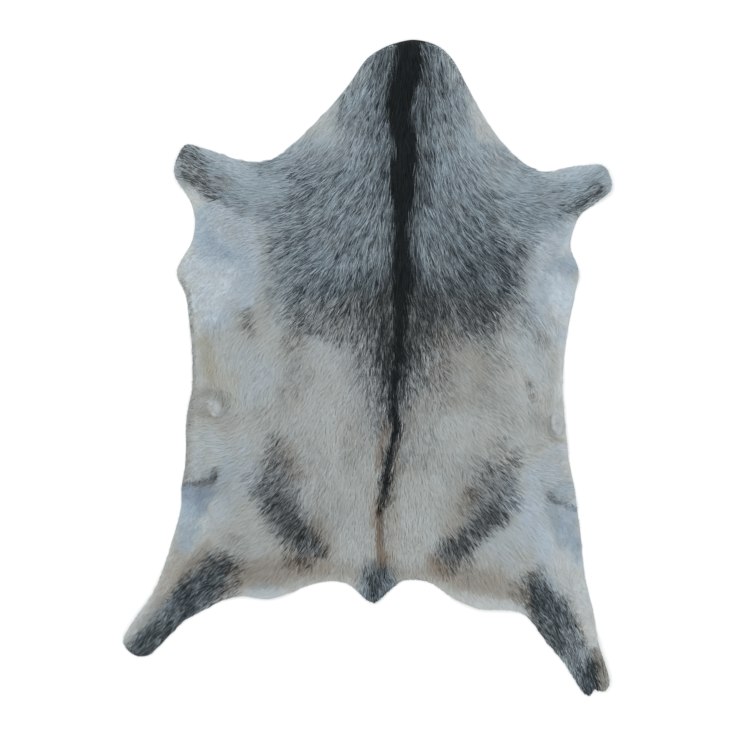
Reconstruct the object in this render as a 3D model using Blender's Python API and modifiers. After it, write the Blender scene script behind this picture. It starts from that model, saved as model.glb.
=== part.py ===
# A goatskin rug: one whole dressed goat hide with its hair on, laid out flat, hair side up.
# Metres. +Z is up, the neck points to +Y, and the left legs lie at -X. The hide lies on Z = 0.

import math

import bmesh
import bpy
from mathutils import Vector, geometry, kdtree, noise

for thing in list(bpy.data.objects):
    bpy.data.objects.remove(thing)

# Driving sizes
WIDTH = 0.707  # over the feet
LENGTH = 0.952  # from the lip of the neck to the lowest hind foot
SKIN = 0.0014  # the tanned skin on its own
RIM_HAIR = 0.0007  # how much the hair adds at the cut edge
COAT = 0.0042  # how much the flat-lying hair adds over the body
RIM_FADE = 0.020  # the coat rises to its full depth this far in from the edge
RIM_STEP = 0.009  # spacing of the points along the edge
NET = 0.0168  # spacing of the points in the field
EDGE_WANDER = 0.0007  # how far the knife strayed along the edge
LOCKS = 0.0007  # height of the waves that the locks of hair make
MOST = 0.0160  # thickness at a vertex weight of 1

# The cut edge, clockwise from the lip of the neck, one short table for each stretch of it.
# Columns: x, y.
NECK_RIGHT = (
    (0.047, 0.473),
    (0.070, 0.476),
    (0.102, 0.467),
    (0.123, 0.448),
    (0.149, 0.400),
    (0.175, 0.354),
    (0.210, 0.310),
    (0.236, 0.291),
)
FORELEG_RIGHT = (
    (0.262, 0.284),
    (0.288, 0.291),
    (0.323, 0.294),
    (0.340, 0.293),
    (0.349, 0.280),
    (0.352, 0.261),
    (0.341, 0.248),
    (0.320, 0.233),
    (0.305, 0.219),
)
FLANK_RIGHT = (
    (0.295, 0.191),
    (0.294, 0.171),
    (0.305, 0.141),
    (0.301, 0.113),
    (0.294, 0.077),
    (0.286, 0.032),
    (0.282, -0.025),
    (0.286, -0.083),
    (0.291, -0.133),
    (0.299, -0.177),
    (0.308, -0.242),
    (0.315, -0.307),
    (0.326, -0.351),
)
HIND_LEG_RIGHT = (
    (0.334, -0.402),
    (0.343, -0.429),
    (0.349, -0.454),
    (0.343, -0.468),
    (0.333, -0.468),
    (0.328, -0.464),
    (0.321, -0.476),
    (0.310, -0.467),
    (0.288, -0.432),
    (0.259, -0.397),
    (0.240, -0.371),
    (0.221, -0.355),
)
RUMP_RIGHT = (
    (0.192, -0.351),
    (0.160, -0.349),
    (0.128, -0.336),
    (0.105, -0.320),
    (0.088, -0.310),
    (0.053, -0.307),
)
TAIL = (
    (0.041, -0.315),
    (0.024, -0.329),
    (0.009, -0.341),
    (-0.002, -0.336),
    (-0.017, -0.322),
    (-0.031, -0.312),
)
RUMP_LEFT = (
    (-0.051, -0.309),
    (-0.086, -0.315),
    (-0.112, -0.326),
    (-0.144, -0.335),
    (-0.185, -0.331),
    (-0.214, -0.339),
)
HIND_LEG_LEFT = (
    (-0.243, -0.354),
    (-0.266, -0.367),
    (-0.292, -0.394),
    (-0.315, -0.415),
    (-0.333, -0.418),
    (-0.349, -0.406),
    (-0.352, -0.392),
    (-0.336, -0.364),
    (-0.315, -0.335),
    (-0.297, -0.296),
)
FLANK_LEFT = (
    (-0.281, -0.247),
    (-0.269, -0.199),
    (-0.269, -0.177),
    (-0.263, -0.133),
    (-0.262, -0.075),
    (-0.254, -0.032),
    (-0.253, 0.012),
    (-0.257, 0.062),
    (-0.263, 0.106),
    (-0.275, 0.136),
    (-0.268, 0.158),
    (-0.254, 0.183),
    (-0.249, 0.215),
)
FORELEG_LEFT = (
    (-0.257, 0.244),
    (-0.272, 0.268),
    (-0.279, 0.284),
    (-0.273, 0.306),
    (-0.262, 0.323),
    (-0.243, 0.320),
    (-0.208, 0.309),
    (-0.185, 0.302),
    (-0.153, 0.299),
)
NECK_LEFT = (
    (-0.130, 0.306),
    (-0.098, 0.334),
    (-0.062, 0.370),
    (-0.031, 0.406),
    (-0.014, 0.431),
    (0.000, 0.450),
    (0.021, 0.464),
)
STRETCHES = (
    NECK_RIGHT,
    FORELEG_RIGHT,
    FLANK_RIGHT,
    HIND_LEG_RIGHT,
    RUMP_RIGHT,
    TAIL,
    RUMP_LEFT,
    HIND_LEG_LEFT,
    FLANK_LEFT,
    FORELEG_LEFT,
    NECK_LEFT,
)

# Where the hide stands off the floor: tucks, curled edges and feet that dried a little bent.
# Columns: x and y of one end, x and y of the other, half width, height.
LIFTS = (
    (0.030, 0.474, 0.100, 0.472, 0.030, 0.0030),  # lip of the neck
    (0.342, 0.292, 0.350, 0.258, 0.036, 0.0060),  # right forefoot
    (-0.268, 0.322, -0.276, 0.280, 0.036, 0.0070),  # left forefoot
    (-0.276, 0.138, -0.205, 0.156, 0.020, 0.0045),  # wave behind the left foreleg
    (-0.262, 0.206, -0.215, 0.214, 0.018, 0.0030),  # wave inside the left foreleg
    (0.304, 0.134, 0.250, 0.150, 0.020, 0.0040),  # wave behind the right foreleg
    (-0.270, -0.180, -0.214, -0.170, 0.012, 0.0038),  # tuck in the left flank
    (0.258, -0.182, 0.301, -0.198, 0.012, 0.0038),  # tuck in the right flank
    (-0.262, -0.062, -0.258, 0.060, 0.018, 0.0026),  # curl of the left edge
    (0.284, -0.010, 0.288, -0.120, 0.018, 0.0026),  # curl of the right edge
    (-0.306, -0.300, -0.350, -0.392, 0.024, 0.0036),  # outer edge of the left hind leg
    (0.346, -0.456, 0.330, -0.400, 0.026, 0.0050),  # right hind foot
    (-0.190, -0.336, -0.120, -0.330, 0.020, 0.0030),  # edge left of the tail
    (0.130, -0.342, 0.205, -0.356, 0.022, 0.0036),  # edge right of the tail
    (0.009, -0.344, 0.008, -0.322, 0.026, 0.0028),  # tip of the tail
)

# Where the hair is deeper (above 1) or thinner (below 1) than over the body.
# Columns: x and y of one end, x and y of the other, half width, share of COAT.
COAT_DEPTHS = (
    (0.060, 0.470, 0.050, 0.290, 0.100, 1.35),  # mane
    (0.060, 0.470, 0.052, 0.130, 0.034, 1.45),  # ridge of stiff hair down the neck
    (0.052, 0.130, 0.045, -0.020, 0.030, 1.35),  # ridge over the back
    (0.045, -0.020, 0.018, -0.210, 0.026, 1.20),  # ridge over the loins
    (0.018, -0.210, 0.010, -0.310, 0.022, 1.10),  # ridge over the rump
    (0.010, -0.296, 0.009, -0.336, 0.034, 1.55),  # tail
    (-0.120, 0.130, 0.190, 0.130, 0.090, 1.20),  # shoulders
    (-0.270, 0.250, -0.225, 0.110, 0.062, 0.28),  # bare skin behind the left foreleg
    (0.300, 0.215, 0.285, 0.100, 0.050, 0.30),  # bare skin behind the right foreleg
    (-0.262, -0.195, -0.236, -0.235, 0.046, 0.45),  # groin, left
    (0.296, -0.205, 0.280, -0.285, 0.046, 0.45),  # groin, right
    (-0.232, 0.020, -0.228, -0.110, 0.046, 0.70),  # belly, left
    (0.262, 0.010, 0.268, -0.110, 0.046, 0.70),  # belly, right
    (-0.215, -0.300, -0.340, -0.400, 0.050, 0.90),  # left hind leg
    (0.240, -0.310, 0.335, -0.460, 0.050, 0.90),  # right hind leg
    (-0.170, -0.330, -0.090, -0.322, 0.030, 0.50),  # inside of the left thigh
    (0.110, -0.330, 0.210, -0.350, 0.030, 0.50),  # inside of the right thigh
)

# Small whorls on the belly. Columns: x, y, radius, height, depth of the dimple in the middle.
NUBS = (
    (-0.217, -0.054, 0.0085, 0.0026, 0.0004),
    (0.276, -0.083, 0.0095, 0.0024, 0.0034),
)


def bell(distance, reach):
    """1 at the middle, falling smoothly to exactly 0 at the reach."""
    share = min(distance / reach, 1.0)
    return (1.0 - share * share) ** 2


def from_line(x, y, x0, y0, x1, y1):
    """How far the point lies from a straight line with two ends."""
    point = Vector((x, y, 0.0))
    start = Vector((x0, y0, 0.0))
    end = Vector((x1, y1, 0.0))
    on_line, share = geometry.intersect_point_line(point, start, end)
    nearest = start if share < 0.0 else end if share > 1.0 else on_line
    return (point - nearest).length


def smooth_loop(landmarks):
    """A closed smooth curve through the landmarks, as points about RIM_STEP apart."""
    marks = [Vector((x, y, 0.0)) for x, y in landmarks]
    points = []
    for i, mark in enumerate(marks):
        before = marks[i - 1]
        after = marks[(i + 1) % len(marks)]
        beyond = marks[(i + 2) % len(marks)]
        handle = (after - mark).length / 3.0
        leaving = mark + (after - before).normalized() * handle
        arriving = after - (beyond - mark).normalized() * handle
        steps = max(1, round((after - mark).length / RIM_STEP))
        points += geometry.interpolate_bezier(mark, leaving, arriving, after, steps + 1)[:-1]
    return points


def knife_wander(points):
    """Moves each point of the edge in or out a little, as a knife strays."""
    wandered = []
    for i, point in enumerate(points):
        along = (points[(i + 1) % len(points)] - points[i - 1]).normalized()
        outward = Vector((-along.y, along.x, 0.0))
        wandered.append(point + outward * EDGE_WANDER * noise.noise(point * 60.0))
    return wandered


def to_size(points):
    """Scales and moves the edge so that its box is exactly WIDTH by LENGTH about the origin."""
    low = Vector((min(p.x for p in points), min(p.y for p in points), 0.0))
    high = Vector((max(p.x for p in points), max(p.y for p in points), 0.0))
    middle = (low + high) / 2.0
    across = WIDTH / (high.x - low.x)
    down = LENGTH / (high.y - low.y)
    return [Vector(((p.x - middle.x) * across, (p.y - middle.y) * down, 0.0)) for p in points]


def inside(x, y, loop):
    """True where an even-odd count of edge crossings puts the point inside the loop."""
    found = False
    for i, end in enumerate(loop):
        start = loop[i - 1]
        if (start.y > y) != (end.y > y):
            if x < start.x + (y - start.y) * (end.x - start.x) / (end.y - start.y):
                found = not found
    return found


def field_points(rim, rim_tree):
    """Points that fill the hide: a honeycomb, a row inside the edge, and rings round the nubs."""
    points = []
    for i in range(0, len(rim), 2):
        along = (rim[(i + 1) % len(rim)] - rim[i - 1]).normalized()
        inward = Vector((along.y, -along.x, 0.0))
        points.append(rim[i] + inward * RIM_STEP)
    for x, y, radius, _, _ in NUBS:
        points.append(Vector((x, y, 0.0)))
        for ring, count in ((0.45, 6), (0.90, 10), (1.40, 12)):
            for k in range(count):
                turn = 2.0 * math.pi * (k + ring) / count
                offset = Vector((math.cos(turn), math.sin(turn), 0.0))
                points.append(Vector((x, y, 0.0)) + offset * radius * ring)
    row_height = NET * math.sqrt(3.0) / 2.0
    rows = int(LENGTH / 2.0 / row_height)
    columns = int(WIDTH / 2.0 / NET) + 1
    for row in range(-rows, rows + 1):
        for column in range(-columns, columns + 1):
            points.append(Vector(((column + 0.5 * (row % 2)) * NET, row * row_height, 0.0)))
    kept = []
    for point in points:
        from_rim = rim_tree.find(point)[2]
        crowded = any((point - other).length < 0.45 * RIM_STEP for other in kept[-80:])
        if from_rim > 0.7 * RIM_STEP and not crowded and inside(point.x, point.y, rim):
            kept.append(point)
    return kept


def thinned(points):
    """Leaves out the honeycomb points that crowd the finer ones listed before them."""
    kept = []
    fine = kdtree.KDTree(len(points))
    for i, point in enumerate(points):
        fine.insert(point, i)
    fine.balance()
    for i, point in enumerate(points):
        near = [j for _, j, distance in fine.find_range(point, 0.55 * NET) if j < i]
        small = any((point - Vector((x, y, 0.0))).length < 1.6 * r for x, y, r, _, _ in NUBS)
        if small or not near:
            kept.append(point)
    return kept


def lift(x, y):
    """How high the underside stands off the floor here."""
    height = 0.0
    for x0, y0, x1, y1, half_width, rise in LIFTS:
        height = max(height, rise * bell(from_line(x, y, x0, y0, x1, y1), half_width))
    return height


def thickness(x, y, from_rim):
    """Skin and coat together at this place."""
    share = 1.0
    for x0, y0, x1, y1, half_width, depth in COAT_DEPTHS:
        nearness = bell(from_line(x, y, x0, y0, x1, y1), half_width)
        share *= 1.0 + (depth - 1.0) * nearness
    inward = 1.0 - bell(from_rim, RIM_FADE)
    coat = RIM_HAIR + (COAT * share - RIM_HAIR) * inward
    flow = Vector((x * 34.0, y * 14.0, 0.0))
    coat += LOCKS * share * inward * noise.noise(flow)
    for nub_x, nub_y, radius, height, dimple in NUBS:
        distance = math.hypot(x - nub_x, y - nub_y)
        coat += height * bell(distance, radius * 1.4) - dimple * bell(distance, radius * 0.7)
    return SKIN + max(coat, 0.0003)


def principled(name, colour, roughness):
    material = bpy.data.materials.new(name)
    material.use_nodes = True
    shader = material.node_tree.nodes["Principled BSDF"]
    shader.inputs["Base Color"].default_value = (*colour, 1.0)
    shader.inputs["Roughness"].default_value = roughness
    shader.inputs["Metallic"].default_value = 0.0
    material.diffuse_color = (*colour, 1.0)
    return material


# The edge and the points inside it, joined into one flat net of triangles
rim = to_size(knife_wander(smooth_loop([row for stretch in STRETCHES for row in stretch])))
rim_tree = kdtree.KDTree(len(rim))
for index, rim_point in enumerate(rim):
    rim_tree.insert(rim_point, index)
rim_tree.balance()
inner = thinned(field_points(rim, rim_tree))
flat_points = [point.to_2d() for point in rim + inner]
rim_edges = [(i, (i + 1) % len(rim)) for i in range(len(rim))]
TRIANGLES_INSIDE = 1
flat_points, _, triangles, *_ = geometry.delaunay_2d_cdt(
    flat_points, rim_edges, [], TRIANGLES_INSIDE, 1e-6
)

# The underside of the hide, lifted off the floor where it curls
sheet = bmesh.new()
corners = [sheet.verts.new((x, y, lift(x, y))) for x, y in flat_points]
for triangle in triangles:
    sheet.faces.new([corners[i] for i in triangle])
loose = [vert for vert in sheet.verts if not vert.link_faces]
bmesh.ops.delete(sheet, geom=loose, context="VERTS")
for face in sheet.faces:
    if face.normal.z < 0.0:
        face.normal_flip()

hide_mesh = bpy.data.meshes.new("hide")
sheet.to_mesh(hide_mesh)
sheet.free()
hide = bpy.data.objects.new("hide", hide_mesh)
goatskin_rug = bpy.data.collections.new("goatskin_rug")
bpy.context.scene.collection.children.link(goatskin_rug)
goatskin_rug.objects.link(hide)

# Skin and coat grow up from the underside, by a weight at each vertex
weights = hide.vertex_groups.new(name="skin_and_coat")
for vert in hide_mesh.vertices:
    from_rim = rim_tree.find(Vector((vert.co.x, vert.co.y, 0.0)))[2]
    weight = thickness(vert.co.x, vert.co.y, from_rim) / MOST
    weights.add([vert.index], weight, "REPLACE")
body = hide.modifiers.new("skin and coat", "SOLIDIFY")
body.thickness = MOST
body.offset = 1.0
body.vertex_group = weights.name
body.use_even_offset = False
body.material_offset = 1
body.material_offset_rim = 1

# Grey coat above, pale tanned flesh side below and at the cut edge
hide_mesh.materials.append(principled("grey_goat_hair", (0.22, 0.235, 0.24), 0.75))
hide_mesh.materials.append(principled("tanned_flesh_side", (0.56, 0.51, 0.43), 0.90))
hide_mesh.shade_smooth()
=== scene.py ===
# %% [markdown]
# # A goatskin rug
# This script dresses a goat hide: one whole skin, tanned with the hair left on, laid out flat
# on a pale floor with its hair up. The solid hide comes from the frame. Here it gets its thin
# skin, its nubs, and a coat of about 250,000 hairs that lie the way the goat's coat grew.
# The photo was taken from straight above. All places below were chosen with the photo in view and with
# measurements of its outline and its brightness to go by.

# %% Load the frame
import math

import bmesh
import bpy
import numpy as np
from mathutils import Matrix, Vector, noise
from mathutils.bvhtree import BVHTree


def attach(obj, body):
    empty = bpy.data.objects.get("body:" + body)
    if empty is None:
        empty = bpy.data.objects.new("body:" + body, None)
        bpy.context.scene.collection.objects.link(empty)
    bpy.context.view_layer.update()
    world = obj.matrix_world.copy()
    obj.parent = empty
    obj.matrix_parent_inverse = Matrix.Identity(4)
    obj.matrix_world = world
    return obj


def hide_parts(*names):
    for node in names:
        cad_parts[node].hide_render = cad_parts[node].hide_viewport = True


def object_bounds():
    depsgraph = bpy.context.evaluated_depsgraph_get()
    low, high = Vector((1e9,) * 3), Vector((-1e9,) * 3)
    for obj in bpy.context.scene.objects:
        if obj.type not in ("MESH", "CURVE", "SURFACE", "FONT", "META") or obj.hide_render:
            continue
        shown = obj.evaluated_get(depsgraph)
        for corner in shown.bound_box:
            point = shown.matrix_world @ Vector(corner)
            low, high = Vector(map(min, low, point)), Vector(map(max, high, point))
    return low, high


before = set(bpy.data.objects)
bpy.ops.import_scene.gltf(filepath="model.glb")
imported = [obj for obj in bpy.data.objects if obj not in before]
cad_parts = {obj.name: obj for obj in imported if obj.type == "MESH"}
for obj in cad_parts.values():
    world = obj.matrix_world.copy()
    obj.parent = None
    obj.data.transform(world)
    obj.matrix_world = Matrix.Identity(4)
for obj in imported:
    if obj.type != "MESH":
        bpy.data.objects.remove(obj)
solid_low, solid_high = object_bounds()
solid_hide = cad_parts["hide"]
print("solid box", [round(side, 4) for side in solid_high - solid_low])

# %% [markdown]
# ## From the photo to metres
# The photo is a square of 736 pixels, and one of them is 1.45 mm on the hide. A helper turns a
# place in the photo into metres, so that the tables of markings and of the lie of the hair
# can be checked against the photo. They hold columns that are named where each one is used.

# %% Photo pixels to metres
PICTURE = 736
PIXEL = 0.00145
MIDDLE_X = 367.5
MIDDLE_Y = 368.0


def to_metres(photo_x, photo_y):
    """The place on the hide, in metres, that the photo shows at this pixel."""
    return (photo_x - MIDDLE_X) * PIXEL, (MIDDLE_Y - photo_y) * PIXEL


print("the picture is", round(PICTURE * PIXEL, 3), "metres wide")

# %% [markdown]
# ## Camera
# The picture has no vanishing lines: the hide is flat and was seen from straight above. A camera
# could be orthographic, but a long lens high over the hide gives nearly the same picture and
# still works from other sides. Its height over the coat follows from the width of the view.

# %% Camera
VIEW_WIDTH = PICTURE * PIXEL
LENS = 70.0
SENSOR = 36.0
COAT_TOP = 0.004
view_x, view_y = to_metres(PICTURE / 2.0, PICTURE / 2.0)


def placed(name, data):
    """An object that holds this data, linked to the scene."""
    thing = bpy.data.objects.new(name, data)
    bpy.context.scene.collection.objects.link(thing)
    return thing


lens_data = bpy.data.cameras.new("camera")
lens_data.lens = LENS
lens_data.sensor_width = SENSOR
camera = placed("camera", lens_data)
camera.location = (view_x, view_y, VIEW_WIDTH * LENS / SENSOR + COAT_TOP)
bpy.context.scene.camera = camera
print("camera height", round(camera.location.z, 3))

# %% [markdown]
# ## Floor and light
# The floor is one big pale sheet, less than half a millimetre under the hide, so that the two
# never share a plane. The daylight in the photo is soft, so most of it comes from a bright sky,
# and one wide lamp at the upper left gives the hair a little direction and gloss.

# %% Floor and light
FLOOR_HALF = 14.0
FLOOR_DROP = 0.0004
FLOOR_COLOUR = (0.90, 0.90, 0.90, 1.0)
SKY_COLOUR = (0.97, 0.985, 1.0, 1.0)
SKY_STRENGTH = 1.08
LAMP_SIDE = 3.0
LAMP_WATTS = 22.5
LAMP_PLACE = (-1.0, 1.0, 2.5)

floor_form = bmesh.new()
bmesh.ops.create_grid(floor_form, x_segments=8, y_segments=8, size=FLOOR_HALF)
bmesh.ops.translate(floor_form, verts=floor_form.verts, vec=(0.0, 0.0, -FLOOR_DROP))
floor_mesh = bpy.data.meshes.new("floor")
floor_form.to_mesh(floor_mesh)
floor_form.free()
floor = placed("floor", floor_mesh)

floor_paint = bpy.data.materials.new("floor_paint")
floor_paint.use_nodes = True
floor_shader = floor_paint.node_tree.nodes["Principled BSDF"]
floor_shader.inputs["Base Color"].default_value = FLOOR_COLOUR
floor_shader.inputs["Roughness"].default_value = 0.9
floor_mesh.materials.append(floor_paint)

sky = bpy.data.worlds.new("sky")
sky.use_nodes = True
sky.node_tree.nodes["Background"].inputs["Color"].default_value = SKY_COLOUR
sky.node_tree.nodes["Background"].inputs["Strength"].default_value = SKY_STRENGTH
bpy.context.scene.world = sky

lamp_data = bpy.data.lights.new("window", "AREA")
lamp_data.shape = "SQUARE"
lamp_data.size = LAMP_SIDE
lamp_data.energy = LAMP_WATTS
lamp = placed("window", lamp_data)
lamp.location = LAMP_PLACE
lamp.rotation_euler = (-lamp.location).to_track_quat("-Z", "Y").to_euler()

bpy.context.scene.view_settings.view_transform = "Standard"
print("floor", 2.0 * FLOOR_HALF, "metres wide; lamp at", LAMP_PLACE)

# %% [markdown]
# ## Reading the solid hide
# The hair has to know three things anywhere on the hide: how far in from the cut edge it is, how
# high the skin stands off the floor, and how deep the coat is. The solid knows all three. A
# grid of rays shot down and up through it turns them into small height maps, which numpy can
# then read for thousands of hairs at once, faster than asking the mesh each time.

# %% The edge loop
SKIN = 0.0014
CELL = 0.0025
MARGIN = 0.020
# A face looks up or down when its normal's height is past this, and sideways when it isn't.
STEEP = 0.3


def merged_solid():
    """A working copy of the solid hide, with its loose triangles joined."""
    form = bmesh.new()
    form.from_mesh(solid_hide.data)
    bmesh.ops.remove_doubles(form, verts=form.verts, dist=1e-6)
    form.normal_update()
    return form


def faces_down(face):
    return face.normal.z < -STEEP


solid_form = merged_solid()
under_edges = [e for e in solid_form.edges if sum(faces_down(f) for f in e.link_faces) == 1]
edge_points = np.array([[v.co.x, v.co.y] for e in under_edges for v in e.verts])
edge_starts, edge_ends = edge_points[0::2], edge_points[1::2]
solid_tree = BVHTree.FromBMesh(solid_form)
solid_form.free()
print("edge", len(edge_starts), "pieces")

# %% The height maps
LEAST_DEPTH = 0.0005
map_low = np.array([solid_low.x - MARGIN, solid_low.y - MARGIN])
map_size = np.array([solid_high.x - solid_low.x, solid_high.y - solid_low.y]) + 2.0 * MARGIN
cells_x, cells_y = (int(n) + 1 for n in map_size / CELL)


def heights(x, y):
    """The underside's and the top's height of the solid, or of its nearest point outside it."""
    hit_low = solid_tree.ray_cast(Vector((x, y, -1.0)), Vector((0.0, 0.0, 1.0)))[0]
    hit_high = solid_tree.ray_cast(Vector((x, y, 1.0)), Vector((0.0, 0.0, -1.0)))[0]
    if hit_low is None or hit_high is None:
        nearest = solid_tree.find_nearest(Vector((x, y, 0.0)))[0]
        return nearest.z, nearest.z + SKIN
    return hit_low.z, hit_high.z


grid_x = map_low[0] + CELL * np.arange(cells_x)
grid_y = map_low[1] + CELL * np.arange(cells_y)
height_map = np.array([[heights(x, y) for y in grid_y] for x in grid_x])
under_map = height_map[:, :, 0]
depth_map = np.maximum(height_map[:, :, 1] - under_map - SKIN, LEAST_DEPTH)

# How far in from the cut edge each cell is. A cell is on the hide when a line from it towards +X
# crosses the edge an odd number of times, and off the hide the distance counts below zero.
grid_points = np.stack(np.meshgrid(grid_x, grid_y, indexing="ij"), axis=-1).reshape(-1, 2)
edge_run = edge_ends - edge_starts
nearest_edge = np.full(len(grid_points), 1e9)
crossings = np.zeros(len(grid_points), int)
for start, run in zip(edge_starts, edge_run):
    offset = grid_points - start
    share = np.clip(offset @ run / (run @ run), 0.0, 1.0)
    nearest_edge = np.minimum(nearest_edge, np.linalg.norm(offset - share[:, None] * run, axis=1))
    if abs(run[1]) > 1e-12:
        height_share = offset[:, 1] / run[1]
        between = (height_share >= 0.0) & (height_share < 1.0)
        crossings += between & (offset[:, 0] < height_share * run[0])
inward = np.where(crossings % 2 == 1, nearest_edge, -nearest_edge)
inward_map = inward.reshape(cells_x, cells_y)

# Reading stops just short of the last column and row, so that there is always one after it.
LAST = 1.001


def read_map(values, x, y, pitch=CELL):
    """The map's value at these places, blended between the four cells around each."""
    column = np.clip((x - map_low[0]) / pitch, 0.0, values.shape[0] - LAST)
    row = np.clip((y - map_low[1]) / pitch, 0.0, values.shape[1] - LAST)
    i, j = column.astype(int), row.astype(int)
    u, v = column - i, row - j
    near = values[i, j] * (1.0 - v) + values[i, j + 1] * v
    far = values[i + 1, j] * (1.0 - v) + values[i + 1, j + 1] * v
    return near * (1.0 - u) + far * u


hide_area = (inward_map > 0.0).sum() * CELL**2
print("area", round(float(hide_area), 4), "square metres")
print("coat depth up to", round(float(depth_map.max()) * 1000.0, 1), "mm")

# %% [markdown]
# ## The lie of the hair
# On a goat the hair grows from the nose to the tail and down the legs. Laid out, it runs down the
# back, turns outward over the shoulders and points along each leg to the foot. Each row below
# is one place in the photo and the way the hair points there, in degrees from straight down
# towards the photo's right. Places between are blended from the rows near them.

# %% The comb table
# Columns: photo x, photo y, turn in degrees.
COMB = (
    # spine
    (405, 45, 0),
    (405, 100, 0),
    (404, 170, 0),
    (402, 250, 0),
    (401, 330, 0),
    (396, 420, -2),
    (386, 490, -2),
    (380, 550, 0),
    # neck
    (378, 60, -14),
    (365, 90, -24),
    (345, 115, -31),
    (320, 140, -44),
    (385, 120, -10),
    (372, 165, -18),
    (437, 60, 10),
    (448, 95, 16),
    (468, 125, 26),
    (425, 130, 6),
    (438, 170, 14),
    # left shoulder and foreleg
    (335, 185, -42),
    (300, 170, -66),
    (275, 190, -80),
    (305, 215, -62),
    (345, 230, -34),
    (270, 235, -74),
    (300, 255, -56),
    (275, 290, -50),
    (320, 290, -34),
    (365, 270, -16),
    (375, 320, -12),
    (245, 175, -94),
    (215, 160, -112),
    (190, 158, -118),
    (222, 190, -108),
    (192, 180, -120),
    # right shoulder and foreleg
    (470, 165, 30),
    (498, 180, 52),
    (528, 190, 76),
    (500, 220, 55),
    (462, 225, 30),
    (530, 225, 72),
    (498, 255, 47),
    (520, 285, 44),
    (470, 290, 34),
    (435, 260, 14),
    (430, 310, 20),
    (555, 190, 96),
    (580, 180, 112),
    (602, 174, 118),
    (580, 197, 116),
    # bare skin behind the forelegs
    (215, 215, -60),
    (225, 245, -72),
    (200, 275, -50),
    (235, 290, -52),
    (200, 310, -30),
    (568, 220, 60),
    (556, 245, 62),
    (570, 275, 40),
    (545, 300, 42),
    # left belly, with the hair sweeping round the nub
    (250, 330, -42),
    (215, 345, -18),
    (205, 372, -14),
    (222, 385, 12),
    (234, 400, 4),
    (232, 416, -42),
    (218, 426, -88),
    (202, 420, -96),
    (201, 400, -60),
    (255, 375, -26),
    (300, 350, -36),
    (335, 380, -24),
    (245, 425, -50),
    (218, 445, -84),
    (200, 455, -55),
    (240, 460, -60),
    (205, 475, -62),
    # right belly, with the hair sweeping round the ring
    (520, 330, 40),
    (552, 340, 22),
    (500, 370, 46),
    (460, 360, 36),
    (430, 355, 16),
    (540, 385, 26),
    (553, 402, 2),
    (545, 425, 18),
    (548, 442, 60),
    (562, 448, 92),
    (530, 460, 62),
    (555, 468, 84),
    (565, 400, 0),
    # left rear, thigh and hind leg
    (345, 430, -14),
    (300, 420, -26),
    (270, 455, -38),
    (305, 480, -28),
    (265, 495, -50),
    (345, 490, -10),
    (285, 520, -44),
    (245, 525, -58),
    (205, 510, -30),
    (200, 540, -38),
    (315, 545, -26),
    (345, 560, -8),
    (225, 560, -54),
    (250, 580, -58),
    (290, 580, -32),
    (200, 590, -46),
    (172, 615, -42),
    (145, 642, -42),
    (330, 578, -10),
    # right rear, thigh and hind leg
    (420, 430, 8),
    (460, 430, 28),
    (500, 410, 44),
    (500, 450, 42),
    (445, 480, 18),
    (495, 495, 46),
    (530, 495, 54),
    (415, 520, 5),
    (465, 525, 34),
    (520, 540, 44),
    (445, 555, 20),
    (480, 580, 26),
    (560, 510, 52),
    (568, 545, 16),
    (525, 590, 34),
    (545, 590, 32),
    (566, 630, 28),
    (590, 625, 16),
    (588, 675, 14),
    (425, 570, 6),
    # tail
    (380, 570, 0),
    (367, 580, -16),
    (392, 580, 22),
    (375, 598, -2),
)
BLEND_REACH = 0.010

comb_x, comb_y = to_metres(np.array([row[0] for row in COMB]), np.array([row[1] for row in COMB]))
comb_turn = np.radians([row[2] for row in COMB])


def hair_direction(x, y):
    """The way the hair points at these places, as the x and y of a unit vector."""
    gap = (x[:, None] - comb_x) ** 2 + (y[:, None] - comb_y) ** 2
    weight = 1.0 / (gap + BLEND_REACH**2) ** 2
    toward_x = (weight * np.sin(comb_turn)).sum(axis=1)
    toward_y = (weight * -np.cos(comb_turn)).sum(axis=1)
    length = np.hypot(toward_x, toward_y)
    return toward_x / length, toward_y / length


print(len(COMB), "combed places")

# %% [markdown]
# ## Markings
# The goat was a grey one with a black stripe down its back. The grey is a grizzle: dark and light
# hairs mixed, and a darker place has more dark hairs in it. So a marking isn't a colour here
# but a share of dark hairs, drawn as soft brush strokes along the photo's markings. The light
# hairs have tones of their own, which are brushed on one over the other in the table's order.

# %% The cape
# Columns: photo y, left and right edge of the grey cape over the neck, shoulders and back.
CAPE = (
    (30, 352, 462),
    (69, 356, 460),
    (93, 343, 462),
    (117, 334, 467),
    (129, 336, 466),
    (141, 344, 460),
    (153, 325, 466),
    (162, 288, 482),
    (177, 280, 492),
    (189, 282, 494),
    (201, 283, 505),
    (213, 272, 512),
    (225, 266, 522),
    (237, 264, 530),
    (249, 265, 532),
    (261, 266, 527),
    (285, 267, 524),
    (297, 270, 523),
    (309, 282, 516),
    (321, 282, 508),
    (333, 298, 498),
    (345, 338, 470),
    (357, 348, 447),
    (381, 358, 440),
    (393, 362, 428),
    (405, 367, 415),
    (420, 372, 410),
    (435, 378, 402),
    (447, 382, 396),
)
CAPE_EDGE = 15.0
CAPE_SHARE = 0.50
print("cape", len(CAPE), "rows")

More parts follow.
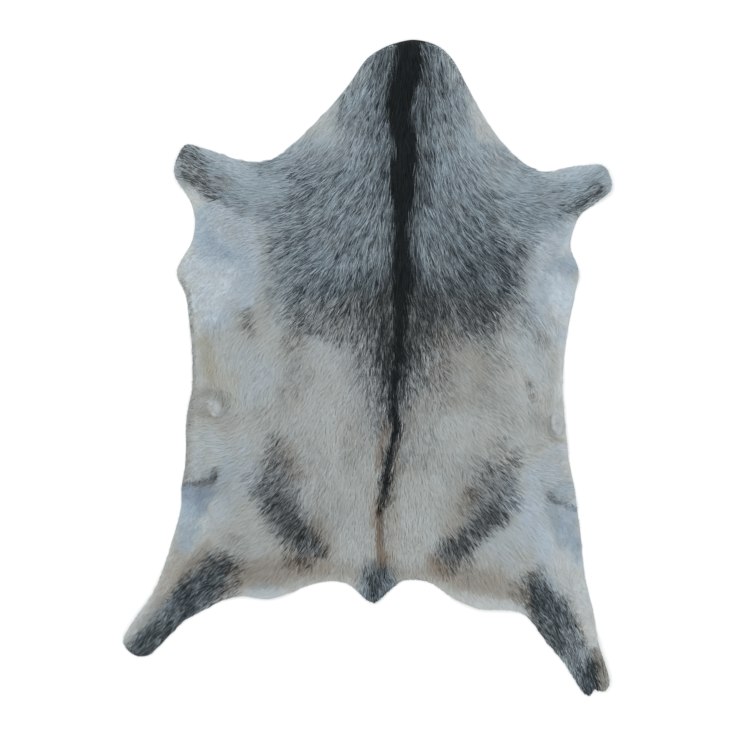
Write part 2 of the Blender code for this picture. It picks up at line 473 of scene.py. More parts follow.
# %% The stripe
# Columns: photo y, left and right edge of the black stripe down the back. Each edge was set near
# where the photo's brightness, measured along that row, climbs out of the black.
STRIPE = (
    (34, 394, 427),
    (54, 393, 427),
    (66, 391, 425),
    (78, 389, 424),
    (90, 387, 420),
    (102, 385, 415),
    (114, 385, 413),
    (126, 386, 413),
    (138, 389, 417),
    (150, 393, 421),
    (162, 391, 422),
    (174, 388, 419),
    (186, 386, 418),
    (198, 388, 418),
    (210, 391, 415),
    (222, 392, 413),
    (240, 392, 411),
    (258, 390, 411),
    (270, 391, 415),
    (285, 391, 416),
    (300, 390, 413),
    (318, 392, 409),
    (336, 393, 407),
    (360, 392, 404),
    (384, 389, 400),
    (396, 388, 398),
    (408, 389, 399),
    (420, 390, 401),
    (432, 391, 401),
    (444, 388, 397),
    (456, 385, 395),
    (468, 383, 393),
    (480, 381, 391),
    (492, 379, 389),
    (504, 378, 386),
    (516, 377, 382),
    (526, 377, 380),
)
STRIPE_EDGE = 8.5
print("stripe", len(STRIPE), "rows")

# %% [markdown]
# ## Dark and pale strokes
# The rest of the markings have no clean edges: skirts along the stripe, the dark lower border of
# the cape, the haunch bands, the legs and the tail. They could be painted on a picture, but a
# stroke with a soft edge takes one line, and it stays easy to move. A dark stroke adds dark
# hairs to what lies under it, and a pale stroke takes some away again.

# %% Dark strokes
# Each stroke: share of dark hairs, softness of its edge, and its points, whose columns are
# photo x, photo y and half width in pixels.
DARK_STROKES = (
    # skirts of the stripe
    (0.12, 1.20, ((374, 55, 12), (366, 200, 14))),
    (
        0.60,
        1.20,
        ((387, 50, 10), (383, 90, 12), (382, 125, 11), (385, 150, 12), (384, 190, 12), (387, 240, 9)),
    ),
    (0.36, 1.20, ((388, 252, 7), (386, 266, 8))),
    (0.72, 1.20, ((427, 45, 9), (425, 80, 13), (420, 110, 12), (420, 135, 10))),
    (0.68, 1.20, ((424, 155, 10), (422, 190, 10), (418, 212, 8))),
    (0.32, 1.20, ((438, 78, 11), (440, 104, 12), (438, 118, 10))),
    (0.16, 1.20, ((434, 190, 10), (438, 210, 10))),
    (0.25, 1.20, ((404, 230, 14), (402, 260, 16))),
    (0.46, 1.20, ((416, 212, 7), (414, 250, 8), (419, 290, 9), (414, 330, 8))),
    # darker places in the cape, on the neck and behind the right foreleg
    (0.16, 1.20, ((330, 178, 14), (312, 185, 12))),
    (0.40, 1.20, ((485, 206, 12), (487, 216, 12))),
    (0.32, 1.20, ((437, 204, 8), (438, 216, 8))),
    (0.36, 1.10, ((418, 84, 7), (416, 98, 7))),
    (0.16, 1.20, ((558, 220, 7), (560, 230, 7))),
    (0.10, 1.20, ((466, 208, 30), (450, 230, 32))),
    (0.16, 1.20, ((296, 238, 12), (294, 250, 12))),
    (0.16, 1.20, ((318, 205, 30), (345, 242, 20))),
    (0.20, 1.20, ((450, 244, 26), (480, 250, 22))),
    (0.25, 1.20, ((420, 262, 12), (424, 276, 12))),
    (0.24, 1.20, ((262, 168, 10), (285, 160, 13), (312, 152, 11))),
    (0.25, 1.20, ((488, 154, 12), (498, 158, 14), (524, 170, 12))),
    (0.16, 1.20, ((468, 92, 9), (462, 76, 6))),
    (0.14, 1.20, ((300, 215, 24), (290, 250, 20), (320, 262, 24))),
    (0.12, 1.20, ((360, 220, 20), (372, 240, 12), (374, 264, 12))),
    # the dark lower border of the cape, right
    (0.52, 1.00, ((516, 244, 8), (511, 256, 12), (508, 270, 17), (508, 294, 14))),
    (0.58, 1.10, ((496, 256, 17), (487, 282, 26), (479, 304, 23))),
    (0.48, 1.10, ((458, 250, 18), (462, 280, 24), (460, 308, 20))),
    (0.58, 1.10, ((436, 288, 13), (438, 312, 13), (430, 330, 11))),
    (0.56, 1.00, ((486, 298, 14), (484, 318, 12))),
    (0.38, 1.10, ((442, 326, 14), (458, 332, 10))),
    (0.24, 1.10, ((470, 332, 9), (490, 340, 9))),
    (0.20, 1.20, ((504, 322, 10), (516, 312, 10), (524, 330, 10))),
    # the dark lower border of the cape, left
    (0.30, 1.10, ((312, 270, 16), (306, 286, 16))),
    (0.12, 1.10, ((302, 300, 14), (304, 318, 13))),
    (0.44, 1.10, ((330, 292, 17), (336, 308, 15))),
    (0.16, 1.20, ((284, 320, 9), (288, 330, 8))),
    (0.60, 1.10, ((362, 280, 14), (358, 300, 16), (352, 314, 11))),
    (0.36, 1.10, ((300, 328, 10), (290, 344, 9))),
    (0.34, 1.20, ((247, 315, 6), (243, 322, 6), (250, 332, 5))),
    (0.14, 1.20, ((262, 300, 8), (270, 310, 8))),
    # dark saddle beside the spine
    (0.40, 1.10, ((386, 290, 9), (388, 310, 9))),
    (0.36, 1.10, ((457, 288, 12), (462, 308, 11))),
    (0.80, 1.00, ((404, 276, 17), (403, 300, 30), (400, 330, 31), (397, 352, 24))),
    (0.66, 1.00, ((399, 345, 22), (396, 372, 15), (393, 396, 9), (393, 418, 6))),
    (0.44, 1.20, ((372, 288, 14), (371, 312, 13), (376, 340, 11))),
    (0.26, 1.20, ((377, 350, 10), (379, 378, 9), (380, 398, 7))),
    (0.42, 1.20, ((382, 382, 8), (383, 397, 9), (385, 420, 7))),
    (0.40, 1.20, ((402, 380, 7), (403, 405, 6))),
    (0.52, 1.20, ((426, 282, 14), (428, 316, 13), (420, 345, 11))),
    (0.30, 1.20, ((418, 352, 10), (412, 376, 9), (404, 396, 8))),
    (0.24, 1.20, ((438, 336, 10), (440, 354, 9))),
    (0.60, 1.00, ((388, 280, 9), (387, 320, 9), (388, 355, 7), (386, 385, 5))),
    (0.26, 1.20, ((402, 434, 8), (403, 452, 9), (401, 468, 7))),
    (0.14, 1.20, ((377, 422, 8), (378, 442, 6))),
    (0.34, 1.20, ((394, 446, 8), (392, 470, 8), (390, 500, 7))),
    (0.50, 1.20, ((388, 456, 8), (386, 480, 8), (383, 502, 7))),
    (0.26, 1.20, ((382, 510, 6), (382, 545, 5))),
    # faint dark veils on the pale back
    (0.14, 1.30, ((296, 350, 12), (296, 380, 14), (288, 394, 13))),
    (0.12, 1.30, ((268, 420, 20), (300, 455, 20), (312, 490, 18), (330, 520, 16))),
    (0.22, 1.20, ((488, 350, 14), (502, 362, 13))),
    (0.12, 1.20, ((486, 392, 16), (500, 400, 14))),
    (0.12, 1.20, ((480, 462, 10), (466, 470, 10), (448, 478, 12))),
    (0.20, 1.30, ((448, 378, 14), (444, 402, 14))),
    (0.08, 1.30, ((436, 420, 14), (424, 466, 12))),
    (0.24, 1.20, ((528, 304, 10), (536, 326, 10), (542, 346, 8))),
    (0.10, 1.20, ((424, 440, 12), (420, 464, 10))),
    (0.10, 1.20, ((352, 420, 12), (352, 460, 12))),
    (0.12, 1.20, ((244, 320, 12), (250, 336, 10))),
    # left haunch band
    (0.38, 1.10, ((275, 444, 9), (272, 460, 12))),
    (0.46, 1.20, ((278, 468, 17), (277, 488, 23), (274, 500, 16))),
    (0.34, 1.20, ((271, 482, 9), (274, 498, 10))),
    (0.70, 1.10, ((278, 514, 18), (293, 529, 17), (308, 542, 15), (321, 552, 8))),
    (0.50, 1.00, ((286, 520, 8), (297, 532, 9), (309, 542, 7))),
    (0.50, 1.10, ((292, 544, 12), (292, 560, 11), (308, 562, 8))),
    (0.28, 1.20, ((251, 480, 9), (254, 494, 9))),
    (0.28, 1.10, ((273, 518, 7), (278, 526, 8))),
    # right haunch band
    (0.42, 1.10, ((517, 456, 8), (511, 470, 10), (509, 480, 8))),
    (0.12, 1.20, ((506, 420, 9), (510, 430, 9))),
    (0.30, 1.20, ((502, 448, 10), (492, 464, 11))),
    (0.14, 1.10, ((486, 490, 9), (488, 510, 9), (491, 526, 9))),
    (0.42, 1.20, ((490, 480, 14), (492, 496, 21), (490, 514, 18))),
    (0.22, 1.20, ((516, 495, 8), (519, 505, 8))),
    (0.42, 1.10, ((506, 498, 10), (511, 506, 10), (500, 520, 9))),
    (0.66, 1.10, ((497, 517, 12), (482, 527, 13), (468, 541, 13), (452, 554, 12))),
    (0.45, 1.00, ((487, 520, 8), (468, 537, 7), (452, 550, 7))),
    (0.26, 1.10, ((470, 496, 10), (466, 512, 8))),
    (0.44, 1.10, ((466, 556, 10), (450, 568, 10))),
    (0.14, 1.20, ((468, 566, 9), (470, 575, 8))),
    (0.40, 1.20, ((446, 546, 10), (438, 556, 8))),
    # dusky rims below the haunches
    (0.08, 1.20, ((246, 574, 12), (280, 576, 11), (305, 576, 9))),
    (0.06, 1.20, ((325, 574, 9), (350, 574, 8))),
    (0.12, 1.20, ((395, 578, 7), (420, 580, 7))),
    # left hind leg
    (0.70, 1.00, ((220, 560, 9), (211, 570, 15), (203, 584, 17), (195, 598, 14))),
    (0.25, 1.00, ((213, 569, 8), (211, 582, 10), (206, 594, 8))),
    (0.82, 0.90, ((185, 597, 12), (181, 609, 17), (168, 628, 17), (152, 643, 16), (139, 652, 15))),
    (0.66, 1.10, ((231, 570, 13), (227, 586, 13), (212, 604, 10))),
    (0.50, 1.00, ((222, 570, 9), (216, 580, 11), (208, 590, 9))),
    (0.50, 1.00, ((192, 612, 6), (178, 625, 6), (168, 635, 6))),
    (0.50, 1.00, ((148, 649, 8), (138, 655, 6))),
    (0.35, 1.00, ((182, 590, 7), (170, 610, 7))),
    (0.55, 1.00, ((152, 632, 7), (142, 645, 8), (134, 651, 7))),
    (0.44, 1.10, ((178, 590, 7), (188, 579, 8))),
    (0.30, 1.20, ((190, 582, 8), (204, 573, 8), (219, 562, 7))),
    (0.24, 1.10, ((204, 594, 7), (206, 604, 6))),
    (0.12, 1.20, ((232, 542, 8), (240, 548, 8))),
    # right hind leg
    (0.62, 1.00, ((535, 581, 8), (538, 592, 13), (544, 604, 12))),
    (0.45, 1.00, ((528, 580, 7), (531, 592, 9), (537, 604, 9))),
    (0.30, 1.20, ((516, 588, 8), (522, 600, 7))),
    (0.80, 0.90, ((541, 593, 11), (544, 610, 16), (547, 628, 18), (556, 641, 13))),
    (0.60, 1.10, ((561, 606, 9), (571, 626, 9), (578, 644, 8))),
    (0.66, 1.00, ((560, 648, 12), (570, 662, 13), (582, 678, 12), (590, 692, 10))),
    (0.90, 0.90, ((592, 670, 7), (590, 682, 10), (591, 692, 9))),
    (0.70, 0.80, ((590, 678, 7), (591, 686, 8), (592, 695, 9))),
    (0.45, 1.00, ((600, 664, 6), (602, 682, 6))),
    (0.42, 1.00, ((543, 616, 7), (548, 632, 8))),
    (0.30, 1.00, ((566, 617, 7), (570, 630, 7))),
    (0.22, 1.10, ((541, 571, 7), (545, 580, 7))),
    (0.50, 1.00, ((591, 654, 6), (593, 662, 7))),
    # forelegs and what lies beside them
    (0.62, 1.00, ((187, 150, 11), (191, 165, 14), (198, 178, 9))),
    (0.20, 1.20, ((214, 162, 10), (222, 178, 11))),
    (0.16, 1.20, ((246, 163, 7), (256, 165, 7))),
    (0.22, 1.10, ((190, 162, 7), (192, 174, 7))),
    (0.55, 1.00, ((182, 176, 4), (193, 181, 4), (204, 189, 6), (211, 197, 5))),
    (0.26, 1.10, ((206, 188, 8), (222, 196, 9), (240, 208, 8))),
    (0.16, 1.20, ((262, 218, 10), (268, 208, 10))),
    (0.18, 1.20, ((500, 192, 12), (525, 206, 14), (545, 208, 12), (562, 200, 10))),
    (0.16, 1.20, ((534, 200, 14), (526, 216, 14), (536, 234, 12))),
    (0.52, 1.00, ((598, 190, 8), (586, 201, 10), (568, 212, 9))),
    (0.18, 1.20, ((532, 176, 8), (544, 179, 8))),
    (0.16, 1.20, ((565, 188, 8), (577, 191, 8))),
    (0.44, 0.90, ((603, 189, 3), (595, 195, 4), (584, 203, 4), (572, 212, 4))),
    (0.12, 1.20, ((538, 222, 10), (534, 238, 9))),
    (0.16, 1.20, ((604, 172, 5), (590, 180, 6))),
    # tail
    (0.80, 0.90, ((379, 574, 10), (378, 583, 19), (376, 592, 15))),
    (0.50, 1.00, ((380, 574, 6), (377, 587, 7), (375, 598, 4))),
    # painted shade along the tucks and at their ends, a smudge and two dots
    (0.30, 1.00, ((215, 470, 4), (214, 478, 4))),
    (0.22, 1.10, ((184, 485, 4), (198, 484, 4), (212, 485, 4))),
    (0.10, 1.00, ((548, 493, 4), (554, 497, 3))),
    (0.24, 1.00, ((551, 500, 3), (564, 504, 3), (575, 509, 3))),
    (0.20, 1.20, ((528, 381, 4), (530, 386, 4))),
    (0.18, 1.20, ((531, 396, 3), (533, 400, 3))),
    # darker hairs along the left cut edge
    (0.30, 1.00, ((180, 282, 2), (187, 292, 2), (190, 312, 2), (191, 332, 2))),
    (0.20, 1.00, ((192, 345, 2), (193, 385, 2), (189, 412, 2), (187, 440, 2), (184, 480, 2))),
)
print(len(DARK_STROKES), "dark strokes")

# %% Pale strokes
# Each stroke: share of the dark hairs that it takes away, softness, and its points.
PALE_STROKES = (
    (0.70, 1.10, ((315, 134, 7), (325, 123, 8))),
    (0.35, 1.10, ((325, 123, 8), (335, 110, 7))),
    (0.40, 1.00, ((322, 143, 8), (338, 145, 8))),
    (0.88, 1.10, ((476, 112, 5), (483, 126, 9), (486, 137, 11), (492, 144, 8))),
    (0.30, 1.10, ((468, 92, 5), (474, 106, 6))),
    (0.30, 1.20, ((440, 58, 8), (445, 76, 6))),
    (0.12, 1.20, ((362, 104, 12), (358, 130, 14), (370, 160, 12))),
    (0.18, 1.20, ((450, 165, 12), (480, 180, 12))),
    (0.24, 1.20, ((380, 214, 6), (381, 224, 6))),
    (0.20, 1.20, ((316, 158, 10), (348, 155, 10))),
    (0.20, 1.20, ((494, 274, 7), (494, 284, 7))),
    (0.24, 1.20, ((301, 293, 7), (302, 300, 7))),
    (0.20, 1.20, ((420, 342, 6), (420, 348, 6))),
    (0.20, 1.20, ((282, 201, 8), (286, 208, 8))),
    (0.20, 1.20, ((491, 193, 8), (497, 199, 8))),
    (0.22, 1.20, ((436, 262, 10), (437, 282, 9))),
    (0.40, 1.20, ((214, 155, 6), (232, 164, 7), (250, 176, 8))),
    (0.40, 1.20, ((548, 176, 7), (566, 175, 7), (586, 168, 6))),
    (0.35, 1.20, ((512, 174, 8), (518, 184, 7))),
)
print(len(PALE_STROKES), "pale strokes")

# %% [markdown]
# ## Tones of the light hairs
# Where the hair is long it hides the skin and looks ivory or slate grey. Behind the forelegs and in the
# groins it is so short and thin that bluish skin shines through, and their blue is partly a painted
# reflection of the sky. Fat and sun have left a few cream, sandy and rusty places. Most tones are the
# colour of the hair itself. Smoke is the greyer light hair on the haunches. The darkest tone is painted
# shade in the tucks of the skin, and shadow blue is painted shade under the left tuck.

# %% Tones
TONES = {
    "ivory": (0.460, 0.486, 0.474),
    "white": (0.543, 0.566, 0.568),
    "frost": (0.455, 0.522, 0.572),
    "pale": (0.462, 0.492, 0.496),
    "sky": (0.330, 0.412, 0.476),
    "deep_sky": (0.270, 0.342, 0.420),
    "shadow_blue": (0.230, 0.290, 0.360),
    "slate": (0.355, 0.430, 0.475),
    "ash": (0.400, 0.425, 0.430),
    "dusk": (0.320, 0.327, 0.307),
    "sand": (0.245, 0.224, 0.190),
    "straw": (0.420, 0.400, 0.312),
    "rust": (0.224, 0.160, 0.105),
    "fawn": (0.335, 0.302, 0.258),
    "mist": (0.482, 0.553, 0.612),
    "crease_shade": (0.120, 0.122, 0.128),
    "smoke": (0.262, 0.290, 0.305),
}
print(len(TONES), "tones")

# %% Tone strokes
# Each stroke: tone, strength, softness, and its points, whose columns are photo x, photo y and
# half width in pixels. Later strokes lie over earlier ones, so their order counts.
TONE_STROKES = (
    # slate legs, with ash where the cape ends and smoke on the haunches
    ("slate", 1.00, 0.60, ((190, 166, 22), (225, 180, 24), (262, 195, 30))),
    ("slate", 1.00, 0.60, ((604, 180, 20), (570, 192, 24), (540, 205, 32))),
    ("ash", 0.85, 1.00, ((300, 325, 20), (350, 322, 26), (400, 330, 34), (450, 322, 26), (500, 318, 20))),
    ("ash", 0.85, 1.00, ((402, 300, 26), (398, 350, 30), (394, 400, 24), (388, 450, 20))),
    ("ash", 0.90, 1.00, ((346, 352, 18), (362, 385, 16), (372, 420, 12))),
    ("ash", 0.90, 1.00, ((446, 345, 22), (430, 375, 20), (414, 410, 12))),
    ("ash", 0.60, 1.00, ((280, 480, 18), (290, 520, 18), (312, 546, 14))),
    ("ash", 0.60, 1.00, ((500, 490, 20), (480, 524, 16), (455, 550, 12))),
    ("slate", 0.60, 1.20, ((262, 478, 10), (268, 500, 12))),
    ("slate", 0.60, 1.20, ((508, 486, 12), (498, 506, 12))),
    ("smoke", 0.65, 1.20, ((278, 470, 13), (277, 490, 18), (290, 524, 16), (312, 546, 12))),
    ("smoke", 0.65, 1.20, ((494, 482, 14), (491, 508, 18), (468, 540, 13), (450, 556, 10))),
    ("slate", 0.90, 0.60, ((212, 570, 14), (195, 594, 18), (170, 616, 16), (143, 646, 14))),
    ("slate", 0.90, 0.60, ((545, 592, 14), (560, 630, 16), (578, 660, 13), (589, 688, 10))),
    ("slate", 1.00, 0.50, ((379, 581, 17), (378, 590, 20), (375, 600, 12))),
    ("ash", 0.70, 1.00, ((183, 158, 12), (190, 168, 12))),
    # warm grey and fawn of the back, the rump and the legs' edges
    ("dusk", 0.34, 1.20, ((455, 350, 18), (470, 372, 24), (480, 398, 22), (444, 378, 14))),
    ("fawn", 0.34, 1.20, ((442, 340, 10), (462, 352, 15), (480, 372, 16))),
    ("fawn", 0.34, 1.20, ((444, 374, 14), (450, 398, 14), (414, 408, 9), (408, 438, 9))),
    ("dusk", 0.25, 1.20, ((292, 350, 16), (298, 380, 16), (285, 400, 12))),
    ("dusk", 0.25, 1.20, ((362, 430, 16), (355, 470, 16))),
    ("dusk", 0.20, 1.20, ((344, 510, 14), (362, 532, 12))),
    ("dusk", 0.25, 1.20, ((420, 430, 16), (425, 450, 18), (400, 480, 10))),
    ("dusk", 0.35, 1.20, ((475, 470, 16), (462, 500, 16), (450, 525, 14))),
    ("dusk", 0.30, 1.20, ((228, 545, 14), (258, 555, 18), (270, 540, 16))),
    ("dusk", 0.35, 1.20, ((315, 520, 14), (330, 545, 12))),
    ("dusk", 0.25, 1.20, ((248, 470, 16), (236, 500, 14))),
    ("fawn", 0.74, 1.20, ((436, 570, 10), (465, 580, 14), (500, 588, 13), (522, 596, 8))),
    ("fawn", 0.76, 1.20, ((240, 574, 13), (285, 571, 14), (318, 568, 12))),
    ("fawn", 0.40, 1.20, ((230, 593, 7), (264, 588, 8), (288, 580, 8))),
    ("fawn", 0.50, 1.20, ((330, 568, 10), (350, 572, 8))),
    ("fawn", 0.40, 1.20, ((392, 500, 8), (392, 530, 8), (388, 556, 8))),
    ("fawn", 0.30, 1.20, ((374, 484, 9), (372, 500, 8))),
    ("fawn", 0.30, 1.20, ((389, 488, 7), (388, 504, 7))),
    ("fawn", 0.45, 1.20, ((396, 574, 8), (425, 576, 9))),
    ("fawn", 0.56, 1.20, ((158, 602, 7), (172, 578, 10), (180, 554, 9))),
    ("fawn", 0.48, 1.20, ((184, 574, 8), (202, 565, 9), (218, 560, 7))),
    ("dusk", 0.30, 1.00, ((604, 189, 5), (592, 198, 7))),
    ("dusk", 0.50, 1.20, ((180, 178, 7), (204, 184, 10), (222, 184, 9))),
    ("sand", 0.35, 1.20, ((368, 566, 6), (392, 566, 6))),
    ("fawn", 0.24, 1.20, ((492, 562, 12), (508, 568, 12))),
    ("sand", 0.30, 1.20, ((283, 442, 8), (286, 462, 8))),
    # cool neck, shoulders and right flank, and pale rims
    ("pale", 0.60, 0.90, ((192, 188, 5), (204, 198, 6), (214, 208, 5))),
    ("frost", 0.70, 1.20, ((546, 250, 10), (544, 270, 10), (544, 296, 12))),
    ("sky", 0.40, 1.20, ((556, 218, 10), (548, 236, 10), (532, 244, 10))),
    ("white", 0.70, 0.80, ((566, 312, 6), (563, 350, 6), (559, 395, 6))),
    ("white", 0.60, 0.90, ((558, 450, 8), (562, 462, 6))),
    ("slate", 0.80, 1.00, ((352, 112, 12), (356, 132, 14), (346, 148, 10))),
    ("slate", 0.80, 1.00, ((458, 96, 9), (462, 120, 10), (466, 142, 10))),
    ("slate", 0.80, 1.00, ((482, 180, 14), (512, 192, 18))),
    ("slate", 0.70, 1.00, ((520, 238, 10), (524, 262, 12), (510, 276, 12))),
    ("frost", 0.45, 1.20, ((516, 244, 10), (520, 260, 10))),
    ("mist", 0.55, 1.20, ((544, 236, 8), (546, 262, 11), (538, 280, 12), (544, 304, 12))),
    ("pale", 0.60, 1.10, ((315, 134, 6), (324, 124, 7))),
    ("pale", 0.80, 1.10, ((477, 114, 5), (483, 124, 7), (488, 137, 9))),
    ("frost", 0.45, 1.10, ((481, 126, 7), (486, 140, 8))),
    ("white", 0.60, 1.10, ((481, 126, 6), (486, 140, 8))),
    ("slate", 0.80, 1.00, ((262, 168, 12), (290, 158, 16), (320, 152, 12))),
    ("slate", 0.80, 1.00, ((470, 156, 14), (500, 160, 16), (530, 176, 14))),
    ("frost", 0.60, 1.00, ((208, 151, 6), (228, 163, 8), (246, 176, 9))),
    ("frost", 0.55, 1.00, ((530, 168, 7), (562, 175, 9), (592, 167, 6))),
    ("frost", 0.45, 1.20, ((300, 150, 14), (345, 148, 14))),
    ("frost", 0.35, 1.20, ((470, 160, 14), (508, 172, 12))),
    # cream and straw on the belly, and round the nubs
    ("pale", 0.50, 0.90, ((226, 330, 14), (200, 335, 12))),
    ("straw", 0.58, 1.60, ((203, 344, 7), (208, 360, 8), (210, 374, 6))),
    ("straw", 0.40, 1.30, ((214, 382, 7), (227, 394, 6), (233, 406, 5))),
    ("straw", 0.30, 1.30, ((236, 360, 6), (234, 378, 7), (238, 393, 6))),
    ("straw", 0.30, 0.90, ((547, 392, 6), (548, 412, 6))),
    ("sand", 0.40, 0.90, ((203, 396, 8), (200, 410, 8))),
    ("sand", 0.25, 0.90, ((212, 418, 8), (228, 422, 10))),
    # Painted shade round the nub: a dark line in the crease along its top and right side, and its shaded
    # upper right.
    ("dusk", 0.70, 1.00, ((201, 395, 3), (212, 392, 3), (222, 394, 3), (227, 402, 3))),
    ("dusk", 0.60, 1.00, ((227, 402, 3), (226, 412, 3), (218, 419, 3), (209, 414, 2))),
    ("pale", 1.00, 0.50, ((216, 403, 6), (216, 410, 6))),
    ("dusk", 0.80, 1.00, ((218, 397, 4), (223, 404, 4))),
    ("sand", 0.32, 0.90, ((543, 426, 8), (537, 420, 9))),
    ("pale", 0.40, 1.20, ((546, 438, 8), (550, 446, 7))),
    ("pale", 1.00, 0.50, ((558, 419, 7), (557, 430, 7))),
    # Painted shade in the crease round the ring's left and lower side.
    ("dusk", 0.70, 1.00, ((549, 420, 3), (549, 430, 3), (554, 438, 3), (561, 440, 3))),
    # rusty places, and fawn beside the haunch bands
    ("rust", 0.80, 1.00, ((379, 505, 4), (379, 530, 4), (380, 548, 4), (382, 562, 6))),
    ("rust", 0.60, 0.90, ((386, 430, 4), (383, 440, 5), (380, 455, 4), (378, 470, 3))),
    ("rust", 0.34, 1.10, ((396, 446, 5), (398, 462, 5), (394, 478, 4))),
    ("rust", 0.35, 0.90, ((374, 508, 3), (373, 526, 4))),
    ("rust", 0.50, 1.10, ((528, 381, 4), (530, 386, 4))),
    ("rust", 0.40, 1.10, ((532, 397, 3), (533, 400, 3))),
    ("rust", 0.40, 1.10, ((300, 567, 8), (288, 561, 6))),
    ("rust", 0.42, 1.10, ((431, 560, 6), (441, 572, 8))),
    ("rust", 0.40, 1.10, ((206, 548, 6), (191, 565, 6))),
    ("fawn", 0.50, 1.20, ((290, 450, 7), (294, 476, 8))),
    ("fawn", 0.50, 1.20, ((317, 526, 8), (326, 548, 7))),
    ("fawn", 0.45, 1.20, ((470, 494, 8), (462, 512, 8), (452, 532, 8))),
    # bluish skin behind the forelegs, on the belly's edge and in the groins, with its tucks and rims
    # The blue of these thin places is partly the skin's own and partly a painted reflection of the sky.
    ("sky", 0.85, 0.80, ((205, 214, 10), (206, 234, 14), (212, 252, 18), (236, 258, 12))),
    ("deep_sky", 0.50, 0.90, ((210, 234, 9), (220, 246, 10), (228, 252, 7))),
    ("mist", 0.80, 1.20, ((214, 208, 7), (236, 222, 10), (250, 242, 10), (250, 276, 12), (245, 300, 10))),
    ("mist", 0.50, 1.20, ((215, 216, 8), (219, 232, 8), (238, 248, 7))),
    ("mist", 0.45, 1.20, ((190, 268, 8), (212, 280, 13), (232, 292, 12), (214, 314, 10))),
    ("frost", 0.58, 0.80, ((194, 270, 12), (216, 280, 18), (238, 280, 14))),
    ("frost", 0.75, 0.80, ((205, 300, 16), (222, 306, 16), (214, 322, 14))),
    ("sky", 0.85, 0.80, ((572, 262, 9), (565, 270, 12), (558, 274, 8))),
    ("deep_sky", 0.50, 0.90, ((575, 268, 6), (567, 272, 8), (560, 262, 5))),
    ("sky", 0.45, 1.20, ((552, 219, 8), (560, 229, 7))),
    ("sky", 0.40, 1.20, ((560, 254, 7), (552, 268, 7))),
    ("frost", 0.90, 0.80, ((570, 224, 8), (563, 240, 9), (560, 250, 6))),
    ("frost", 0.90, 0.80, ((560, 290, 16), (556, 306, 18), (548, 318, 14), (560, 336, 8))),
    ("frost", 0.50, 1.20, ((532, 308, 10), (530, 350, 14), (540, 372, 12))),
    ("white", 0.40, 1.20, ((520, 372, 14), (536, 392, 14), (550, 412, 10))),
    ("white", 0.45, 1.20, ((552, 312, 9), (554, 330, 9))),
    ("white", 0.60, 1.20, ((541, 510, 9), (544, 528, 9))),
    ("mist", 0.40, 1.20, ((554, 508, 8), (560, 520, 7))),
    ("pale", 0.50, 1.20, ((488, 550, 9), (491, 562, 9))),
    ("frost", 0.45, 0.90, ((244, 362, 14), (262, 376, 16), (250, 392, 12))),
    ("pale", 0.60, 1.20, ((324, 356, 14), (330, 390, 14), (320, 430, 14))),
    ("frost", 0.45, 0.90, ((208, 436, 8), (218, 446, 10), (236, 452, 14), (232, 470, 10))),
    # Painted shade in and along the two tucks: slate bands beside their creases, and the darkest tone in
    # them.
    ("slate", 0.55, 1.20, ((190, 476, 9), (204, 478, 9), (216, 476, 8))),
    ("slate", 0.60, 1.20, ((222, 480, 8), (223, 494, 8))),
    ("crease_shade", 0.62, 1.00, ((182, 485, 3), (198, 484, 3), (213, 480, 3))),
    ("crease_shade", 0.50, 1.00, ((215, 470, 3), (214, 479, 3))),
    ("mist", 0.50, 1.20, ((540, 474, 9), (556, 484, 10))),
    ("slate", 0.45, 1.20, ((546, 490, 6), (558, 500, 6), (574, 506, 6))),
    ("sky", 0.60, 1.20, ((550, 508, 9), (568, 490, 9))),
    ("crease_shade", 0.34, 1.00, ((547, 492, 3), (553, 497, 3))),
    ("crease_shade", 0.45, 1.00, ((550, 500, 2), (564, 504, 2), (576, 509, 2))),
    ("sky", 0.35, 0.90, ((226, 466, 8), (238, 478, 8))),
    ("mist", 0.60, 1.20, ((250, 470, 9), (242, 490, 10))),
    ("mist", 0.45, 1.20, ((196, 452, 7), (198, 466, 7))),
    ("dusk", 0.55, 1.20, ((190, 326, 4), (192, 380, 5), (188, 430, 5), (184, 478, 5))),
    # Painted shade under the left tuck: deep sky and shadow blue darken the bluish skin there.
    ("deep_sky", 0.90, 0.90, ((187, 496, 9), (196, 503, 12), (198, 510, 9))),
    ("shadow_blue", 0.80, 1.00, ((186, 492, 7), (196, 494, 7), (208, 493, 7))),
    ("shadow_blue", 0.45, 1.20, ((188, 502, 7), (190, 512, 7))),
    ("sky", 0.75, 0.80, ((186, 512, 10), (188, 530, 12), (184, 545, 8))),
    ("frost", 0.45, 0.90, ((226, 502, 9), (224, 514, 12), (212, 524, 9))),
    ("frost", 0.60, 1.20, ((536, 478, 10), (538, 500, 11), (532, 520, 12), (526, 540, 12))),
    ("mist", 0.80, 1.20, ((514, 506, 9), (534, 508, 12), (540, 532, 12), (548, 552, 9))),
    ("mist", 0.50, 1.20, ((506, 556, 9), (512, 566, 8))),
    ("frost", 0.50, 1.00, ((508, 532, 10), (496, 545, 10))),
    ("frost", 0.50, 1.00, ((546, 560, 12), (560, 590, 14))),
    ("deep_sky", 0.75, 0.70, ((570, 512, 8), (568, 528, 9), (576, 546, 7))),
    ("sky", 0.75, 0.80, ((556, 516, 7), (566, 540, 10), (576, 560, 7))),
    ("white", 0.60, 1.00, ((562, 562, 12), (572, 588, 11), (581, 610, 9), (588, 632, 8))),
    ("sky", 0.45, 0.80, ((256, 592, 7), (276, 594, 6))),
    ("white", 0.55, 0.60, ((240, 593, 3), (258, 595, 4), (284, 593, 4))),
    ("white", 0.55, 0.60, ((460, 597, 4), (490, 603, 5), (518, 608, 4), (528, 614, 3))),
    ("frost", 0.55, 0.80, ((560, 452, 8), (550, 468, 12))),
    ("pale", 0.60, 0.70, ((142, 610, 5), (132, 630, 6), (128, 642, 5))),
    ("dusk", 0.55, 0.80, ((160, 600, 5), (150, 616, 5), (140, 628, 5))),
    ("sand", 0.60, 0.70, ((598, 652, 5), (603, 672, 6), (603, 686, 6))),
)
print(len(TONE_STROKES), "tone strokes")

